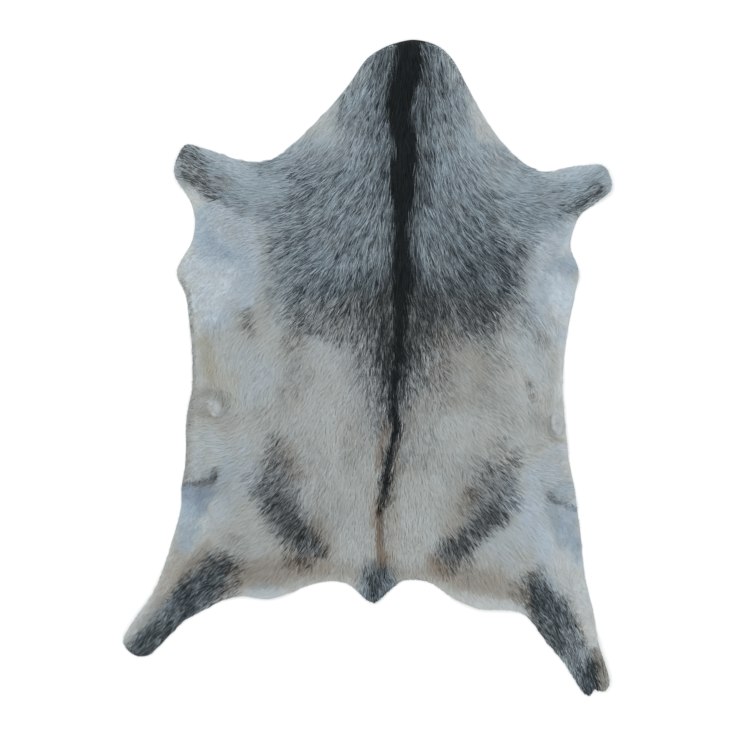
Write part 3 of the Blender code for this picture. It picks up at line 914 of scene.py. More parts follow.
# %% Thin places
# Each stroke, where the hair is short and thin: strength, softness, and its points.
THIN_STROKES = (
    (0.95, 0.70, ((194, 192, 8), (205, 222, 18), (212, 262, 34), (205, 300, 26))),
    (0.50, 0.90, ((240, 232, 16), (246, 270, 16), (240, 300, 14))),
    (0.95, 0.70, ((576, 222, 8), (566, 250, 16), (562, 280, 24), (562, 305, 18))),
    (0.75, 0.80, ((192, 330, 18), (192, 400, 20), (192, 470, 16))),
    (0.70, 0.80, ((566, 330, 12), (562, 400, 16), (566, 470, 14))),
    (0.90, 0.60, ((190, 492, 10), (196, 515, 18), (186, 548, 12), (160, 600, 8))),
    (0.85, 0.60, ((568, 512, 16), (572, 550, 14), (582, 600, 10), (590, 640, 8))),
    (0.80, 0.60, ((236, 596, 5), (262, 598, 6), (290, 592, 4))),
    (0.80, 0.60, ((460, 600, 5), (490, 606, 6), (524, 614, 5))),
    (0.45, 1.00, ((314, 132, 6), (324, 122, 6))),
    (0.45, 1.00, ((478, 118, 5), (488, 136, 7))),
    (1.00, 0.40, ((218, 402, 8), (218, 409, 8))),
    (1.00, 0.40, ((558, 420, 9), (557, 429, 9))),
)
print(len(THIN_STROKES), "thin places")

# %% [markdown]
# ## Brushes
# The tables are only numbers until something reads them. A stroke covers a place fully near its
# line and fades out smoothly past its width, and a band such as the stripe fades over its two
# edges. Both are worked out for thousands of places at once, for the hairs and for the skin.

# %% Reading the strokes and bands
BAND_END = 12.0
DARKEST_MIX = 0.96
FULLY_BLUISH = 0.09


def brushed(softness, points, x, y):
    """How far one stroke covers these places, 0 to 1."""
    cover = np.zeros(len(x))
    for (x0, y0, width0), (x1, y1, width1) in zip(points, points[1:]):
        start_x, start_y = to_metres(x0, y0)
        end_x, end_y = to_metres(x1, y1)
        run_x, run_y = end_x - start_x, end_y - start_y
        share = ((x - start_x) * run_x + (y - start_y) * run_y) / (run_x**2 + run_y**2)
        share = np.clip(share, 0.0, 1.0)
        gap = np.hypot(x - start_x - share * run_x, y - start_y - share * run_y)
        reach = (width0 + (width1 - width0) * share) * PIXEL
        edge = np.clip((1.0 + 0.5 * softness - gap / reach) / softness, 0.0, 1.0)
        cover = np.maximum(cover, edge * edge * (3.0 - 2.0 * edge))
    return cover


def painted(strokes, x, y):
    """How strongly all the strokes together cover these places, 0 to 1."""
    bare = np.ones(len(x))
    for strength, softness, points in strokes:
        bare *= 1.0 - strength * brushed(softness, points, x, y)
    return 1.0 - bare


def thinness(x, y):
    return painted(THIN_STROKES, x, y)


def light_tones(x, y):
    """Colour of the light hairs, as three columns, and a fourth one of ones."""
    tones = np.tile(TONES["ivory"], (len(x), 1))
    tones += (np.array(TONES["slate"]) - tones) * banded(CAPE, 2.0 * CAPE_EDGE, x, y)[:, None]
    for tone, strength, softness, points in TONE_STROKES:
        cover = strength * brushed(softness, points, x, y)[:, None]
        tones += (np.array(TONES[tone]) - tones) * cover
    return np.column_stack([tones, np.ones(len(x))])


def banded(rows, edge, x, y):
    """1 between the left and right edges in these rows and 0 outside them, soft over the edge."""
    photo_x, photo_y = x / PIXEL + MIDDLE_X, MIDDLE_Y - y / PIXEL
    rows = np.array(rows, float)
    left = np.interp(photo_y, rows[:, 0], rows[:, 1])
    right = np.interp(photo_y, rows[:, 0], rows[:, 2])
    inside = np.minimum(photo_x - left, right - photo_x) / edge
    end = (rows[-1, 0] - photo_y) / BAND_END
    share = np.clip(0.5 + 0.5 * inside, 0.0, 1.0) * np.clip(end, 0.0, 1.0)
    return share * share * (3.0 - 2.0 * share)


def dark_marks(x, y):
    """Shares of black and of dark hair, how bluish the dark hair is, and ones, as four columns."""
    cape = CAPE_SHARE * banded(CAPE, CAPE_EDGE, x, y)
    dark = 1.0 - (1.0 - cape) * (1.0 - painted(DARK_STROKES, x, y))
    dark = DARKEST_MIX * dark * (1.0 - painted(PALE_STROKES, x, y))
    tones = light_tones(x, y)
    bluish = np.clip((tones[:, 2] - tones[:, 0]) / FULLY_BLUISH, 0.0, 1.0)
    return np.column_stack([banded(STRIPE, STRIPE_EDGE, x, y), dark, bluish, np.ones(len(x))])


# %% [markdown]
# ## One recipe for the colour of the coat
# Every layer of hair, and the skin under it, takes its colour from the same rule, so the rule is
# a node group. It reads the shares painted above from an attribute and the lot that each hair
# drew, and mixes the hair's colour between light and dark: a low lot makes it darker and a high
# lot lighter. A few hairs stay light among the dark ones, and the light hair is a little warmer
# in some patches and cooler in others. Pictures could do this too, but a rule stays sharp close
# up and needs no files.

# %% Helpers for nodes
BLACK_HAIR = (0.0030, 0.0042, 0.0046)
# A lighter black, a painted sheen on the stripe's hairs.
PAINTED_SHEEN_BLACK_HAIR = (0.0110, 0.0160, 0.0180)
DARK_COOL_HAIR = (0.017, 0.025, 0.030)
DARK_WARM_HAIR = (0.019, 0.020, 0.019)
WARM_PATCH = (0.98, 0.96, 0.94)
COOL_PATCH = (1.02, 1.035, 1.05)


def new_group(name, inputs, outputs):
    """An empty node group with these sockets, and its nodes for what goes in and out."""
    group = bpy.data.node_groups.new(name, "ShaderNodeTree")
    for socket, kind in inputs:
        group.interface.new_socket(name=socket, in_out="INPUT", socket_type=kind)
    for socket, kind in outputs:
        group.interface.new_socket(name=socket, in_out="OUTPUT", socket_type=kind)
    return group, group.nodes.new("NodeGroupInput"), group.nodes.new("NodeGroupOutput")


def arithmetic(tree, operation, first, second):
    """A Math node, whose two values are sockets or numbers."""
    node = tree.nodes.new("ShaderNodeMath")
    node.operation = operation
    for slot, value in zip(node.inputs, (first, second)):
        if isinstance(value, (int, float)):
            slot.default_value = value
        else:
            tree.links.new(value, slot)
    return node.outputs[0]


def blended(tree, share, first, second, blend_type="MIX"):
    """A Mix node for colours, which are sockets or three numbers."""
    node = tree.nodes.new("ShaderNodeMix")
    node.data_type = "RGBA"
    node.blend_type = blend_type
    for slot, value in ((0, share), (6, first), (7, second)):
        if isinstance(value, (int, float)):
            node.inputs[slot].default_value = value
        elif isinstance(value, tuple):
            node.inputs[slot].default_value = (*value, 1.0)
        else:
            tree.links.new(value, node.inputs[slot])
    return node.outputs[2]


def ramped(tree, value, low, high, low_out=0.0, high_out=1.0):
    """A smooth Map Range node."""
    node = tree.nodes.new("ShaderNodeMapRange")
    node.interpolation_type = "SMOOTHSTEP"
    tree.links.new(value, node.inputs["Value"])
    for slot, number in zip(("From Min", "From Max", "To Min", "To Max"), (low, high, low_out, high_out)):
        node.inputs[slot].default_value = number
    return node.outputs["Result"]


# %% Coat colour group
coat_colour, coat_in, coat_out = new_group(
    "coat_colour",
    (
        ("Tone", "NodeSocketColor"),
        ("Marks", "NodeSocketColor"),
        ("Lot", "NodeSocketFloat"),
        ("Shade", "NodeSocketFloat"),
        ("Place", "NodeSocketVector"),
    ),
    (("Color", "NodeSocketColor"),),
)
# The share of dark hairs times the share of light ones is a quarter at most.
FULL_SWING = 4.0
CLUMP_SCALE = 60.0
MOTTLE = 0.55
CONTRAST = 1.42
BRIGHT_HAIRS = 0.22
BRIGHT_LOTS = (0.74, 0.90)
BRIGHT_MADE_UP = 0.06
MADE_UP_LOTS = (0.50, 0.80)
PATCH_SCALE = 24.0
PATCH_RANGE = (0.30, 0.70)
# The stripe's edge: a hair is black where the stripe's stretched share beats its own lot.
STRIPE_STRETCH = 1.6
STRIPE_LOT = 0.6
STRIPE_RANGE = (0.10, 0.90)
marks = coat_colour.nodes.new("ShaderNodeSeparateColor")
coat_colour.links.new(coat_in.outputs["Marks"], marks.inputs[0])
black_share, dark_share, bluish = marks.outputs[0], marks.outputs[1], marks.outputs[2]
lot = coat_in.outputs["Lot"]
light_share = arithmetic(coat_colour, "SUBTRACT", 1.0, dark_share)
mixed = arithmetic(coat_colour, "MULTIPLY", dark_share, light_share)

# Clumps: the share of dark hairs wanders a little, and most where dark and light are mixed.
clumps = coat_colour.nodes.new("ShaderNodeTexNoise")
clumps.inputs["Scale"].default_value = CLUMP_SCALE
clumps.inputs["Detail"].default_value = 3.0
coat_colour.links.new(coat_in.outputs["Place"], clumps.inputs["Vector"])
wander = arithmetic(coat_colour, "SUBTRACT", clumps.outputs[0], 0.5)
wander = arithmetic(coat_colour, "MULTIPLY", wander, FULL_SWING * MOTTLE)

# Lots: a hair with a low lot is darker than the share, one with a high lot is lighter. Both
# swings close toward no and all dark hairs, so that the mean stays what was painted.
low_lot = arithmetic(coat_colour, "SUBTRACT", 0.5, lot)
swing = arithmetic(coat_colour, "MULTIPLY", low_lot, FULL_SWING * CONTRAST)
swing = arithmetic(coat_colour, "ADD", swing, wander)
swing = arithmetic(coat_colour, "MULTIPLY", swing, mixed)
darkness = arithmetic(coat_colour, "ADD", dark_share, swing)

# A few hairs stay light even where nearly all are dark, and the rest make up for them.
is_bright = ramped(coat_colour, lot, *BRIGHT_LOTS, 0.0, BRIGHT_HAIRS)
made_up = ramped(coat_colour, lot, *MADE_UP_LOTS, BRIGHT_MADE_UP, 0.0)
brightened = arithmetic(coat_colour, "SUBTRACT", made_up, is_bright)
brightened = arithmetic(coat_colour, "MULTIPLY", brightened, dark_share)
darkness = arithmetic(coat_colour, "ADD", darkness, brightened)
is_dark = coat_colour.nodes.new("ShaderNodeClamp")
coat_colour.links.new(darkness, is_dark.inputs["Value"])
is_dark = is_dark.outputs["Result"]
dark_hair = blended(coat_colour, bluish, DARK_WARM_HAIR, DARK_COOL_HAIR)

# Patches of light hair are a little warmer and darker, or cooler and lighter, than the rest.
patches = coat_colour.nodes.new("ShaderNodeTexNoise")
patches.inputs["Scale"].default_value = PATCH_SCALE
patches.inputs["Detail"].default_value = 2.0
coat_colour.links.new(coat_in.outputs["Place"], patches.inputs["Vector"])
patch = ramped(coat_colour, patches.outputs[0], *PATCH_RANGE)
tint = blended(coat_colour, patch, WARM_PATCH, COOL_PATCH)
light_hair = blended(coat_colour, 1.0, coat_in.outputs["Tone"], tint, "MULTIPLY")
grizzle = blended(coat_colour, is_dark, light_hair, dark_hair)

# The stripe's hairs are black, with a painted sheen: a lighter black where their lot is high.
stretched = arithmetic(coat_colour, "MULTIPLY", black_share, STRIPE_STRETCH)
held_back = arithmetic(coat_colour, "MULTIPLY", lot, STRIPE_LOT)
beats_lot = arithmetic(coat_colour, "SUBTRACT", stretched, held_back)
is_black = ramped(coat_colour, beats_lot, *STRIPE_RANGE)
black_hair = blended(coat_colour, lot, BLACK_HAIR, PAINTED_SHEEN_BLACK_HAIR)
blackened = blended(coat_colour, is_black, grizzle, black_hair)
shaded = blended(coat_colour, 1.0, blackened, coat_in.outputs["Shade"], "MULTIPLY")
coat_colour.links.new(shaded, coat_out.inputs["Color"])
print("coat colour group has", len(coat_colour.nodes), "nodes")

# %% [markdown]
# ## The skin
# Under the hair lies the tanned skin, 1.4 mm thick. Its net of faces is taken from the top of the
# solid, laid down at skin height and subdivided, so it keeps every tuck and curl of the hide. A
# Solidify gives it its thickness, with a suede flesh side and a cut edge as extra materials.

# %% Skin mesh
WRINKLE = 0.00030
WRINKLE_SCALE = 70.0
FINE_WRINKLE_SCALE = 190.0
SKIN_CUTS = 3
RIM_ROUNDS = 3


def paint_points(mesh, label, colours):
    """Stores four columns of colour at the mesh's points, under this name."""
    stored = mesh.attributes.new(label, "FLOAT_COLOR", "POINT")
    stored.data.foreach_set("color", colours.astype(np.float32).ravel())


skin_form = merged_solid()
not_top = [face for face in skin_form.faces if face.normal.z < STEEP]
bmesh.ops.delete(skin_form, geom=not_top, context="FACES")
bmesh.ops.subdivide_edges(skin_form, edges=skin_form.edges, cuts=SKIN_CUTS, use_grid_fill=True)

# The cut edge is rounded: each point of the rim moves toward its two neighbours on it.
for _ in range(RIM_ROUNDS):
    rounded = {}
    for vert in skin_form.verts:
        along_rim = [edge.other_vert(vert) for edge in vert.link_edges if edge.is_boundary]
        if len(along_rim) == 2:
            rounded[vert] = (along_rim[0].co + along_rim[1].co + 2.0 * vert.co) / 4.0
    for vert, place in rounded.items():
        vert.co = place

# The sheet is laid at skin height, with fine wrinkles.
skin_x = np.array([vert.co.x for vert in skin_form.verts])
skin_y = np.array([vert.co.y for vert in skin_form.verts])
skin_z = read_map(under_map, skin_x, skin_y) + SKIN
for vert, height in zip(skin_form.verts, skin_z):
    wrinkle = noise.noise(vert.co * WRINKLE_SCALE)
    wrinkle += 0.5 * noise.noise(vert.co * FINE_WRINKLE_SCALE)
    vert.co.z = height + WRINKLE * max(wrinkle, 0.0)
for face in skin_form.faces:
    face.smooth = True
skin_mesh = bpy.data.meshes.new("skin")
skin_form.to_mesh(skin_mesh)
skin_form.free()
skin = placed("skin", skin_mesh)
paint_points(skin_mesh, "marks", dark_marks(skin_x, skin_y))
paint_points(skin_mesh, "tones", light_tones(skin_x, skin_y))

wall = skin.modifiers.new("thickness", "SOLIDIFY")
wall.thickness = SKIN
wall.offset = -1.0
wall.use_even_offset = False
wall.material_offset = 1
wall.material_offset_rim = 2
print("skin", len(skin_mesh.polygons), "faces before its thickness")

# %% [markdown]
# ## Skin materials
# The hair side of the skin shows where the coat is thin. It takes the colour of the coat, so that
# no light skin flashes between dark hairs and the thin places look bluish. The flesh side is
# suede, with a short nap, faint stains and veins. The cut edge is a little rough, and takes most
# of its colour from the hair ends that hang over it.

# %% Helpers for materials
def new_material(name, roughness, specular):
    material = bpy.data.materials.new(name)
    material.use_nodes = True
    shader = material.node_tree.nodes["Principled BSDF"]
    shader.inputs["Roughness"].default_value = roughness
    shader.inputs["Specular IOR Level"].default_value = specular
    return material, material.node_tree, shader


def object_place(tree):
    return tree.nodes.new("ShaderNodeTexCoord").outputs["Object"]


def noise_of(tree, vector, scale, detail=3.0, roughness=0.5):
    node = tree.nodes.new("ShaderNodeTexNoise")
    tree.links.new(vector, node.inputs["Vector"])
    node.inputs["Scale"].default_value = scale
    node.inputs["Detail"].default_value = detail
    node.inputs["Roughness"].default_value = roughness
    return node.outputs[0]


def attribute(tree, name):
    node = tree.nodes.new("ShaderNodeAttribute")
    node.attribute_name = name
    return node.outputs


def bumped(tree, shader, height, strength, distance):
    node = tree.nodes.new("ShaderNodeBump")
    node.inputs["Strength"].default_value = strength
    node.inputs["Distance"].default_value = distance
    tree.links.new(height, node.inputs["Height"])
    tree.links.new(node.outputs["Normal"], shader.inputs["Normal"])


def coat_colour_node(tree, lot, shade, place):
    """The coat colour group, set in a material and wired to the hide's colours."""
    node = tree.nodes.new("ShaderNodeGroup")
    node.node_tree = coat_colour
    tree.links.new(attribute(tree, "tones")["Color"], node.inputs["Tone"])
    tree.links.new(attribute(tree, "marks")["Color"], node.inputs["Marks"])
    tree.links.new(lot, node.inputs["Lot"])
    tree.links.new(place, node.inputs["Place"])
    tree.links.new(shade, node.inputs["Shade"])
    return node.outputs["Color"]


# %% Hair side
hair_side, tree, shader = new_material("hair_side_skin", 0.62, 0.25)
place = object_place(tree)
speckle = noise_of(tree, place, 700.0, 2.0)
speckled = ramped(tree, speckle, 0.3, 0.7)
shade = ramped(tree, speckle, 0.2, 0.8, 0.84, 1.0)
tree.links.new(coat_colour_node(tree, speckled, shade, place), shader.inputs["Base Color"])
bumped(tree, shader, speckle, 0.35, 0.0006)
skin_mesh.materials.append(hair_side)
print(hair_side.name, len(tree.nodes), "nodes")

# %% Flesh side
SUEDE = (0.610, 0.560, 0.470)
SUEDE_STAIN = (0.500, 0.430, 0.330)
SUEDE_VEIN = (0.66, 0.63, 0.57)
VEIN_SHARE = 0.18
flesh_side, tree, shader = new_material("suede_flesh_side", 0.92, 0.15)
shader.inputs["Sheen Weight"].default_value = 0.3
shader.inputs["Sheen Roughness"].default_value = 0.6
place = object_place(tree)
nap = noise_of(tree, place, 900.0, 4.0, 0.65)
stain = ramped(tree, noise_of(tree, place, 9.0, 4.0), 0.35, 0.70)
veins = ramped(tree, noise_of(tree, place, 26.0, 5.0, 0.7), 0.45, 0.60)
suede = blended(tree, stain, SUEDE, SUEDE_STAIN)
suede = blended(tree, arithmetic(tree, "MULTIPLY", veins, VEIN_SHARE), suede, SUEDE_VEIN)
nap_shade = ramped(tree, nap, 0.25, 0.75, 0.86, 1.04)
tree.links.new(blended(tree, 1.0, suede, nap_shade, "MULTIPLY"), shader.inputs["Base Color"])
bumped(tree, shader, nap, 0.6, 0.0008)
skin_mesh.materials.append(flesh_side)
print(flesh_side.name, len(tree.nodes), "nodes")

# %% Cut edge
DARK_FIBRE = (0.200, 0.180, 0.150)
PALE_FIBRE = (0.420, 0.400, 0.360)
HAIR_OVER_EDGE = 0.75
cut_edge, tree, shader = new_material("cut_leather_edge", 0.8, 0.25)
place = object_place(tree)
fibres = noise_of(tree, place, 1200.0, 3.0, 0.7)
edge_colour = blended(tree, fibres, DARK_FIBRE, PALE_FIBRE)
fibre_shade = ramped(tree, fibres, 0.3, 0.7, 0.80, 1.0)
hair_ends = coat_colour_node(tree, ramped(tree, fibres, 0.3, 0.7), fibre_shade, place)
covered_edge = blended(tree, HAIR_OVER_EDGE, edge_colour, hair_ends)
tree.links.new(covered_edge, shader.inputs["Base Color"])
bumped(tree, shader, fibres, 0.5, 0.0005)
skin_mesh.materials.append(cut_edge)
print(cut_edge.name, len(tree.nodes), "nodes")

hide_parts("hide")
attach(skin, "root")

# %% [markdown]
# ## Two bare nubs on the belly
# The photo shows a smooth oval nub on the left of the belly and a ring with a dark dimple on the right.
# Each is turned: a short profile from the middle outward, spun round a full circle, then stretched to an
# oval and set on the skin. Their bare skin takes its colour from the same painted tones, darker and
# mottled, and with them the painted shade in the crease round each and on the nub's upper right side. A
# turned form is quicker than pulling one out of the skin, and its rim dips under the skin, so no seam
# shows.

# %% Turning a nub
# Columns of a profile: share of the radius, height in metres.
NUB_PROFILE = ((0.0, 0.0030), (0.35, 0.0030), (0.65, 0.0024), (0.86, 0.0012), (1.05, -0.0006))
RING_PROFILE = (
    (0.0, 0.0004),
    (0.16, 0.0005),
    (0.34, 0.0018),
    (0.55, 0.0031),
    (0.74, 0.0031),
    (0.90, 0.0018),
    (1.06, -0.0006),
)
SPIN_STEPS = 28
UNEVEN = 0.0002
UNEVEN_SCALE = 300.0


def turned_nub(name, profile, photo_x, photo_y, half_width, half_length, lean):
    """A turned, oval nub on the skin at this place of the photo."""
    form = bmesh.new()
    rows = [form.verts.new((share, 0.0, height)) for share, height in profile]
    for inner, outer in zip(rows, rows[1:]):
        form.edges.new((inner, outer))
    bmesh.ops.spin(
        form,
        geom=form.verts[:] + form.edges[:],
        axis=(0.0, 0.0, 1.0),
        cent=(0.0, 0.0, 0.0),
        angle=2.0 * math.pi,
        steps=SPIN_STEPS,
        use_merge=True,
    )
    bmesh.ops.remove_doubles(form, verts=form.verts, dist=1e-5)
    x, y = to_metres(photo_x, photo_y)
    skin_top = float(read_map(under_map, np.array([x]), np.array([y]))[0]) + SKIN
    for vert in form.verts:
        across, along = vert.co.x * half_width, vert.co.y * half_length
        vert.co.x = x + across * math.cos(lean) - along * math.sin(lean)
        vert.co.y = y + across * math.sin(lean) + along * math.cos(lean)
        vert.co.z += skin_top + UNEVEN * noise.noise(vert.co * UNEVEN_SCALE)
    bmesh.ops.recalc_face_normals(form, faces=form.faces)
    if sum(face.normal.z for face in form.faces) < 0.0:
        bmesh.ops.reverse_faces(form, faces=form.faces)
    for face in form.faces:
        face.smooth = True
    mesh = bpy.data.meshes.new(name)
    form.to_mesh(mesh)
    form.free()
    places = np.array([vert.co[:2] for vert in mesh.vertices])
    paint_points(mesh, "tones", light_tones(places[:, 0], places[:, 1]))
    nub = placed(name, mesh)
    smooth = nub.modifiers.new("smooth", "SUBSURF")
    smooth.levels = smooth.render_levels = 1
    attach(nub, "root")
    print(name, "at", round(x, 3), round(y, 3), "on skin at", round(skin_top, 4))
    return nub


# %% The nub, the ring and their skin
left_nub = turned_nub("left_belly_nub", NUB_PROFILE, 218.0, 405.5, 0.0085, 0.0140, -0.22)
right_ring = turned_nub("right_belly_ring", RING_PROFILE, 558.0, 424.5, 0.0105, 0.0170, 0.2)

nub_skin, tree, shader = new_material("bare_nub_skin", 0.5, 0.4)
place = object_place(tree)
pores = noise_of(tree, place, 1400.0, 2.0)
mottling = ramped(tree, noise_of(tree, place, 160.0), 0.2, 0.8, 0.62, 0.80)
mottled = blended(tree, 1.0, attribute(tree, "tones")["Color"], mottling, "MULTIPLY")
tree.links.new(mottled, shader.inputs["Base Color"])
bumped(tree, shader, pores, 0.25, 0.0003)
left_nub.data.materials.append(nub_skin)
right_ring.data.materials.append(nub_skin)

# %% [markdown]
# ## One hair
# A goat's hair is far thinner than a pixel of the photo, so one hair here stands for a few that
# cling together: a flat ribbon under a millimetre wide that narrows to a point. It starts as a
# grid of two cells whose last row is merged into the tip, and that is three triangles.

# %% Template ribbon
RIBBON_CELLS = 2
ribbon = bmesh.new()
bmesh.ops.create_grid(ribbon, x_segments=1, y_segments=RIBBON_CELLS, size=0.5)
tip_row = [vert for vert in ribbon.verts if vert.co.y > 0.49]
bmesh.ops.pointmerge(ribbon, verts=tip_row, merge_co=(0.0, 0.5, 0.0))
ribbon.verts.index_update()
ribbon_side = np.array([vert.co.x for vert in ribbon.verts]) * 2.0
ribbon_along = np.array([vert.co.y for vert in ribbon.verts]) + 0.5
ribbon_faces = [[vert.index for vert in face.verts] for face in ribbon.faces]
ribbon_corners = np.array([index for face in ribbon_faces for index in face])
ribbon_starts = np.cumsum([0] + [len(face) for face in ribbon_faces[:-1]])
ribbon_rows = np.round(ribbon_along * RIBBON_CELLS).astype(int)
ribbon.free()
print("ribbon", len(ribbon_along), "points,", len(ribbon_faces), "faces")

# %% [markdown]
# ## Growing the locks
# Hairs cling together in locks. Each lock starts at a jittered place and steps along the lie of
# the hair in short runs. A hair's lot in the grizzle comes mostly from its lock, partly from the
# tuft that the lock stands in, and the rest is its own, so that a lock reads as one streak. Its
# hairs start apart and draw together toward the tip. A lock that would hang over the cut edge
# is shortened until it doesn't, because the photo's outline is clean.

# %% Length of the hair
# Each stroke: change of the length in shares, softness, and its points, as for the markings.
LENGTH = 0.0185
LONGER_STROKES = (
    (0.55, 0.90, ((407, 30, 26), (406, 120, 22), (404, 200, 18), (400, 300, 16))),
    (0.25, 0.90, ((406, 60, 80), (405, 150, 90), (403, 240, 100))),
    (0.50, 0.80, ((380, 562, 16), (378, 595, 18))),
)
SHORTER_STROKES = (
    (0.25, 0.90, ((225, 560, 30), (180, 610, 26), (145, 645, 26))),
    (0.25, 0.90, ((538, 580, 30), (570, 640, 26), (592, 685, 26))),
    (0.25, 0.90, ((240, 180, 34), (190, 165, 34))),
    (0.25, 0.90, ((560, 195, 30), (606, 176, 30))),
    (0.20, 0.90, ((380, 440, 170), (380, 560, 190))),
    (0.55, 1.00, ((182, 487, 9), (200, 484, 9), (216, 474, 8))),
    (0.55, 1.00, ((547, 494, 8), (562, 502, 8), (577, 508, 8))),
    (0.55, 1.00, ((529, 382, 8), (533, 400, 8))),
)
SHORTER_WHERE_THIN = 0.62
SHORTEST_LOCK = 0.75
LOCK_VARIETY = 0.5


def lock_lengths(x, y, share, lots):
    """How long the hair grows at these places, in metres."""
    longer = 1.0 + painted(LONGER_STROKES, x, y)
    shorter = 1.0 - painted(SHORTER_STROKES, x, y)
    thin = 1.0 - SHORTER_WHERE_THIN * thinness(x, y)
    return LENGTH * share * longer * shorter * thin * (SHORTEST_LOCK + LOCK_VARIETY * lots)


print("hairs", LENGTH * 1000.0, "mm long before their changes")

# %% Waves and tufts
# Waves in the lie of the hair: a loose grid of random turns, in radians, blended between.
WAVE_PITCH = 0.009
WAVE_TURN = 0.19
WAVE_CELLS = (110, 130)
WAVE_SEED = 5
wave_turns = np.random.default_rng(WAVE_SEED).normal(0.0, WAVE_TURN, WAVE_CELLS)


def combed(x, y):
    """The lie of the hair with its waves."""
    turn = read_map(wave_turns, x, y, WAVE_PITCH)
    toward_x, toward_y = hair_direction(x, y)
    turned_x = toward_x * np.cos(turn) - toward_y * np.sin(turn)
    turned_y = toward_x * np.sin(turn) + toward_y * np.cos(turn)
    return turned_x, turned_y


# Tufts: a fine grid of random values, read at steps along the lie of the hair, so that hairs
# in line with each other agree and hairs beside each other don't.
TUFT_PITCH = 0.0024
TUFT_STEP = 0.0048
TUFT_STEPS = 2
TUFT_GAIN = 3.0
TUFT_CELLS = (330, 430)
TUFT_SEED = 8
tuft_values = np.random.default_rng(TUFT_SEED).random(TUFT_CELLS)


def tufted(x, y):
    """A random value for these places, 0 to 1, in streaks along the lie of the hair."""
    total = read_map(tuft_values, x, y, TUFT_PITCH)
    for way in (-1.0, 1.0):
        at_x, at_y = x, y
        for _ in range(TUFT_STEPS):
            toward_x, toward_y = combed(at_x, at_y)
            at_x, at_y = at_x + way * TUFT_STEP * toward_x, at_y + way * TUFT_STEP * toward_y
            total = total + read_map(tuft_values, at_x, at_y, TUFT_PITCH)
    mean = total / (2 * TUFT_STEPS + 1)
    return np.clip(0.5 + TUFT_GAIN * (mean - 0.5), 0.0, 1.0)


print("wave cells", wave_turns.size, "and tuft cells", tuft_values.size)

# %% Lock paths
ROOT_INSET = 0.0004


def lock_path(x, y, length):
    """Three points along each lock, from its root to its tip, as two arrays of columns."""
    path_x, path_y = [x], [y]
    for _ in range(RIBBON_CELLS):
        toward_x, toward_y = combed(path_x[-1], path_y[-1])
        path_x.append(path_x[-1] + toward_x * length / RIBBON_CELLS)
        path_y.append(path_y[-1] + toward_y * length / RIBBON_CELLS)
    return np.stack(path_x, axis=1), np.stack(path_y, axis=1)


def scattered_roots(count, random):
    """Jittered places all over the hide, about this many."""
    pitch = math.sqrt(hide_area / count)
    columns = np.arange(solid_low.x, solid_high.x, pitch)
    rows = np.arange(solid_low.y, solid_high.y, pitch)
    x, y = (values.ravel() for values in np.meshgrid(columns, rows, indexing="ij"))
    x = x + random.random(len(x)) * pitch
    y = y + random.random(len(y)) * pitch
    on_hide = read_map(inward_map, x, y) > ROOT_INSET
    return x[on_hide], y[on_hide]


# %% [markdown]
# ## Five combings of hair
# The coat is built in five layers, from a short dense undercoat to long guard hairs on top, so
# no mesh grows too heavy. Every hair follows its lock, but starts beside it, bends up from the
# skin, and lies as deep as the solid's coat. All five are made the same way from the table.

# %% The table of layers
# Columns: name, locks, hairs in a lock, share of the length, share of the coat's depth, width
# of a hair in metres, spread of a lock in metres.
LAYERS = (
    ("undercoat", 12000, 3, 0.66, 0.40, 0.00140, 0.0007),
    ("lower_coat", 25000, 2, 0.76, 0.60, 0.00100, 0.0005),
    ("middle_coat", 30000, 2, 0.84, 0.78, 0.00086, 0.0004),
    ("upper_coat", 31000, 2, 0.92, 0.94, 0.00078, 0.0004),
    ("guard_hair", 31000, 2, 1.00, 1.10, 0.00070, 0.0004),
)

# How each of a hair's three rows of points is set, from its root to its tip.
TAPER = np.array([0.85, 1.00, 0.0])
RISE = np.array([0.0, 0.78, 1.0])
DRAWN_TOGETHER = np.array([1.0, 0.65, 0.30])
RUNS = np.array([0.0, 0.5, 1.0])
ROOT_DEPTH = 0.0003

# How locks are kept on the hide, in metres, and how they are shortened until they are.
OVERHANG = 0.0009
HAIR_INSET = 0.0001
SHORTENINGS = 9
SHORTENED_TO = 0.8

# A lock's colour is read between its middle and its tip, a little off at random.
MIDDLE_PART = 0.45
TIP_PART = 0.55
RAGGED = 0.0016

# Where a hair's lot comes from.
TUFT_SHARE = 0.35
LOCK_SHARE = 0.70
HAIR_SHARE = 0.40

# How hairs differ from each other.
SLIDE = 0.25
STRAY = 0.10
VIGOUR = (0.7, 1.15)
LEAST_LIFT = 0.85
LIFT_VARIETY = 0.3
ROLL = 0.35
WIDTHS = (0.75, 1.25)
FINER_WHERE_THIN = 0.45
THINNED_OUT = 0.70
print(len(LAYERS), "layers")

# %% Ribbons as a mesh, and their map
MAP_SIDE = 1024.0
MAP_SHAPE = 2.2


def ribbons_mesh(name, points):
    """A mesh of many copies of the template ribbon, one for each row of these points."""
    count, per_ribbon = points.shape[:2]
    mesh = bpy.data.meshes.new(name)
    mesh.vertices.add(count * per_ribbon)
    mesh.vertices.foreach_set("co", points.ravel())
    first_point = np.arange(count)[:, None] * per_ribbon
    corners = (ribbon_corners[None, :] + first_point).astype(np.int32)
    mesh.loops.add(corners.size)
    mesh.loops.foreach_set("vertex_index", corners.ravel())
    first_corner = np.arange(count)[:, None] * len(ribbon_corners)
    starts = (ribbon_starts[None, :] + first_corner).astype(np.int32)
    mesh.polygons.add(starts.size)
    mesh.polygons.foreach_set("loop_start", starts.ravel())
    mesh.update(calc_edges=True)
    mesh.shade_smooth()
    return mesh


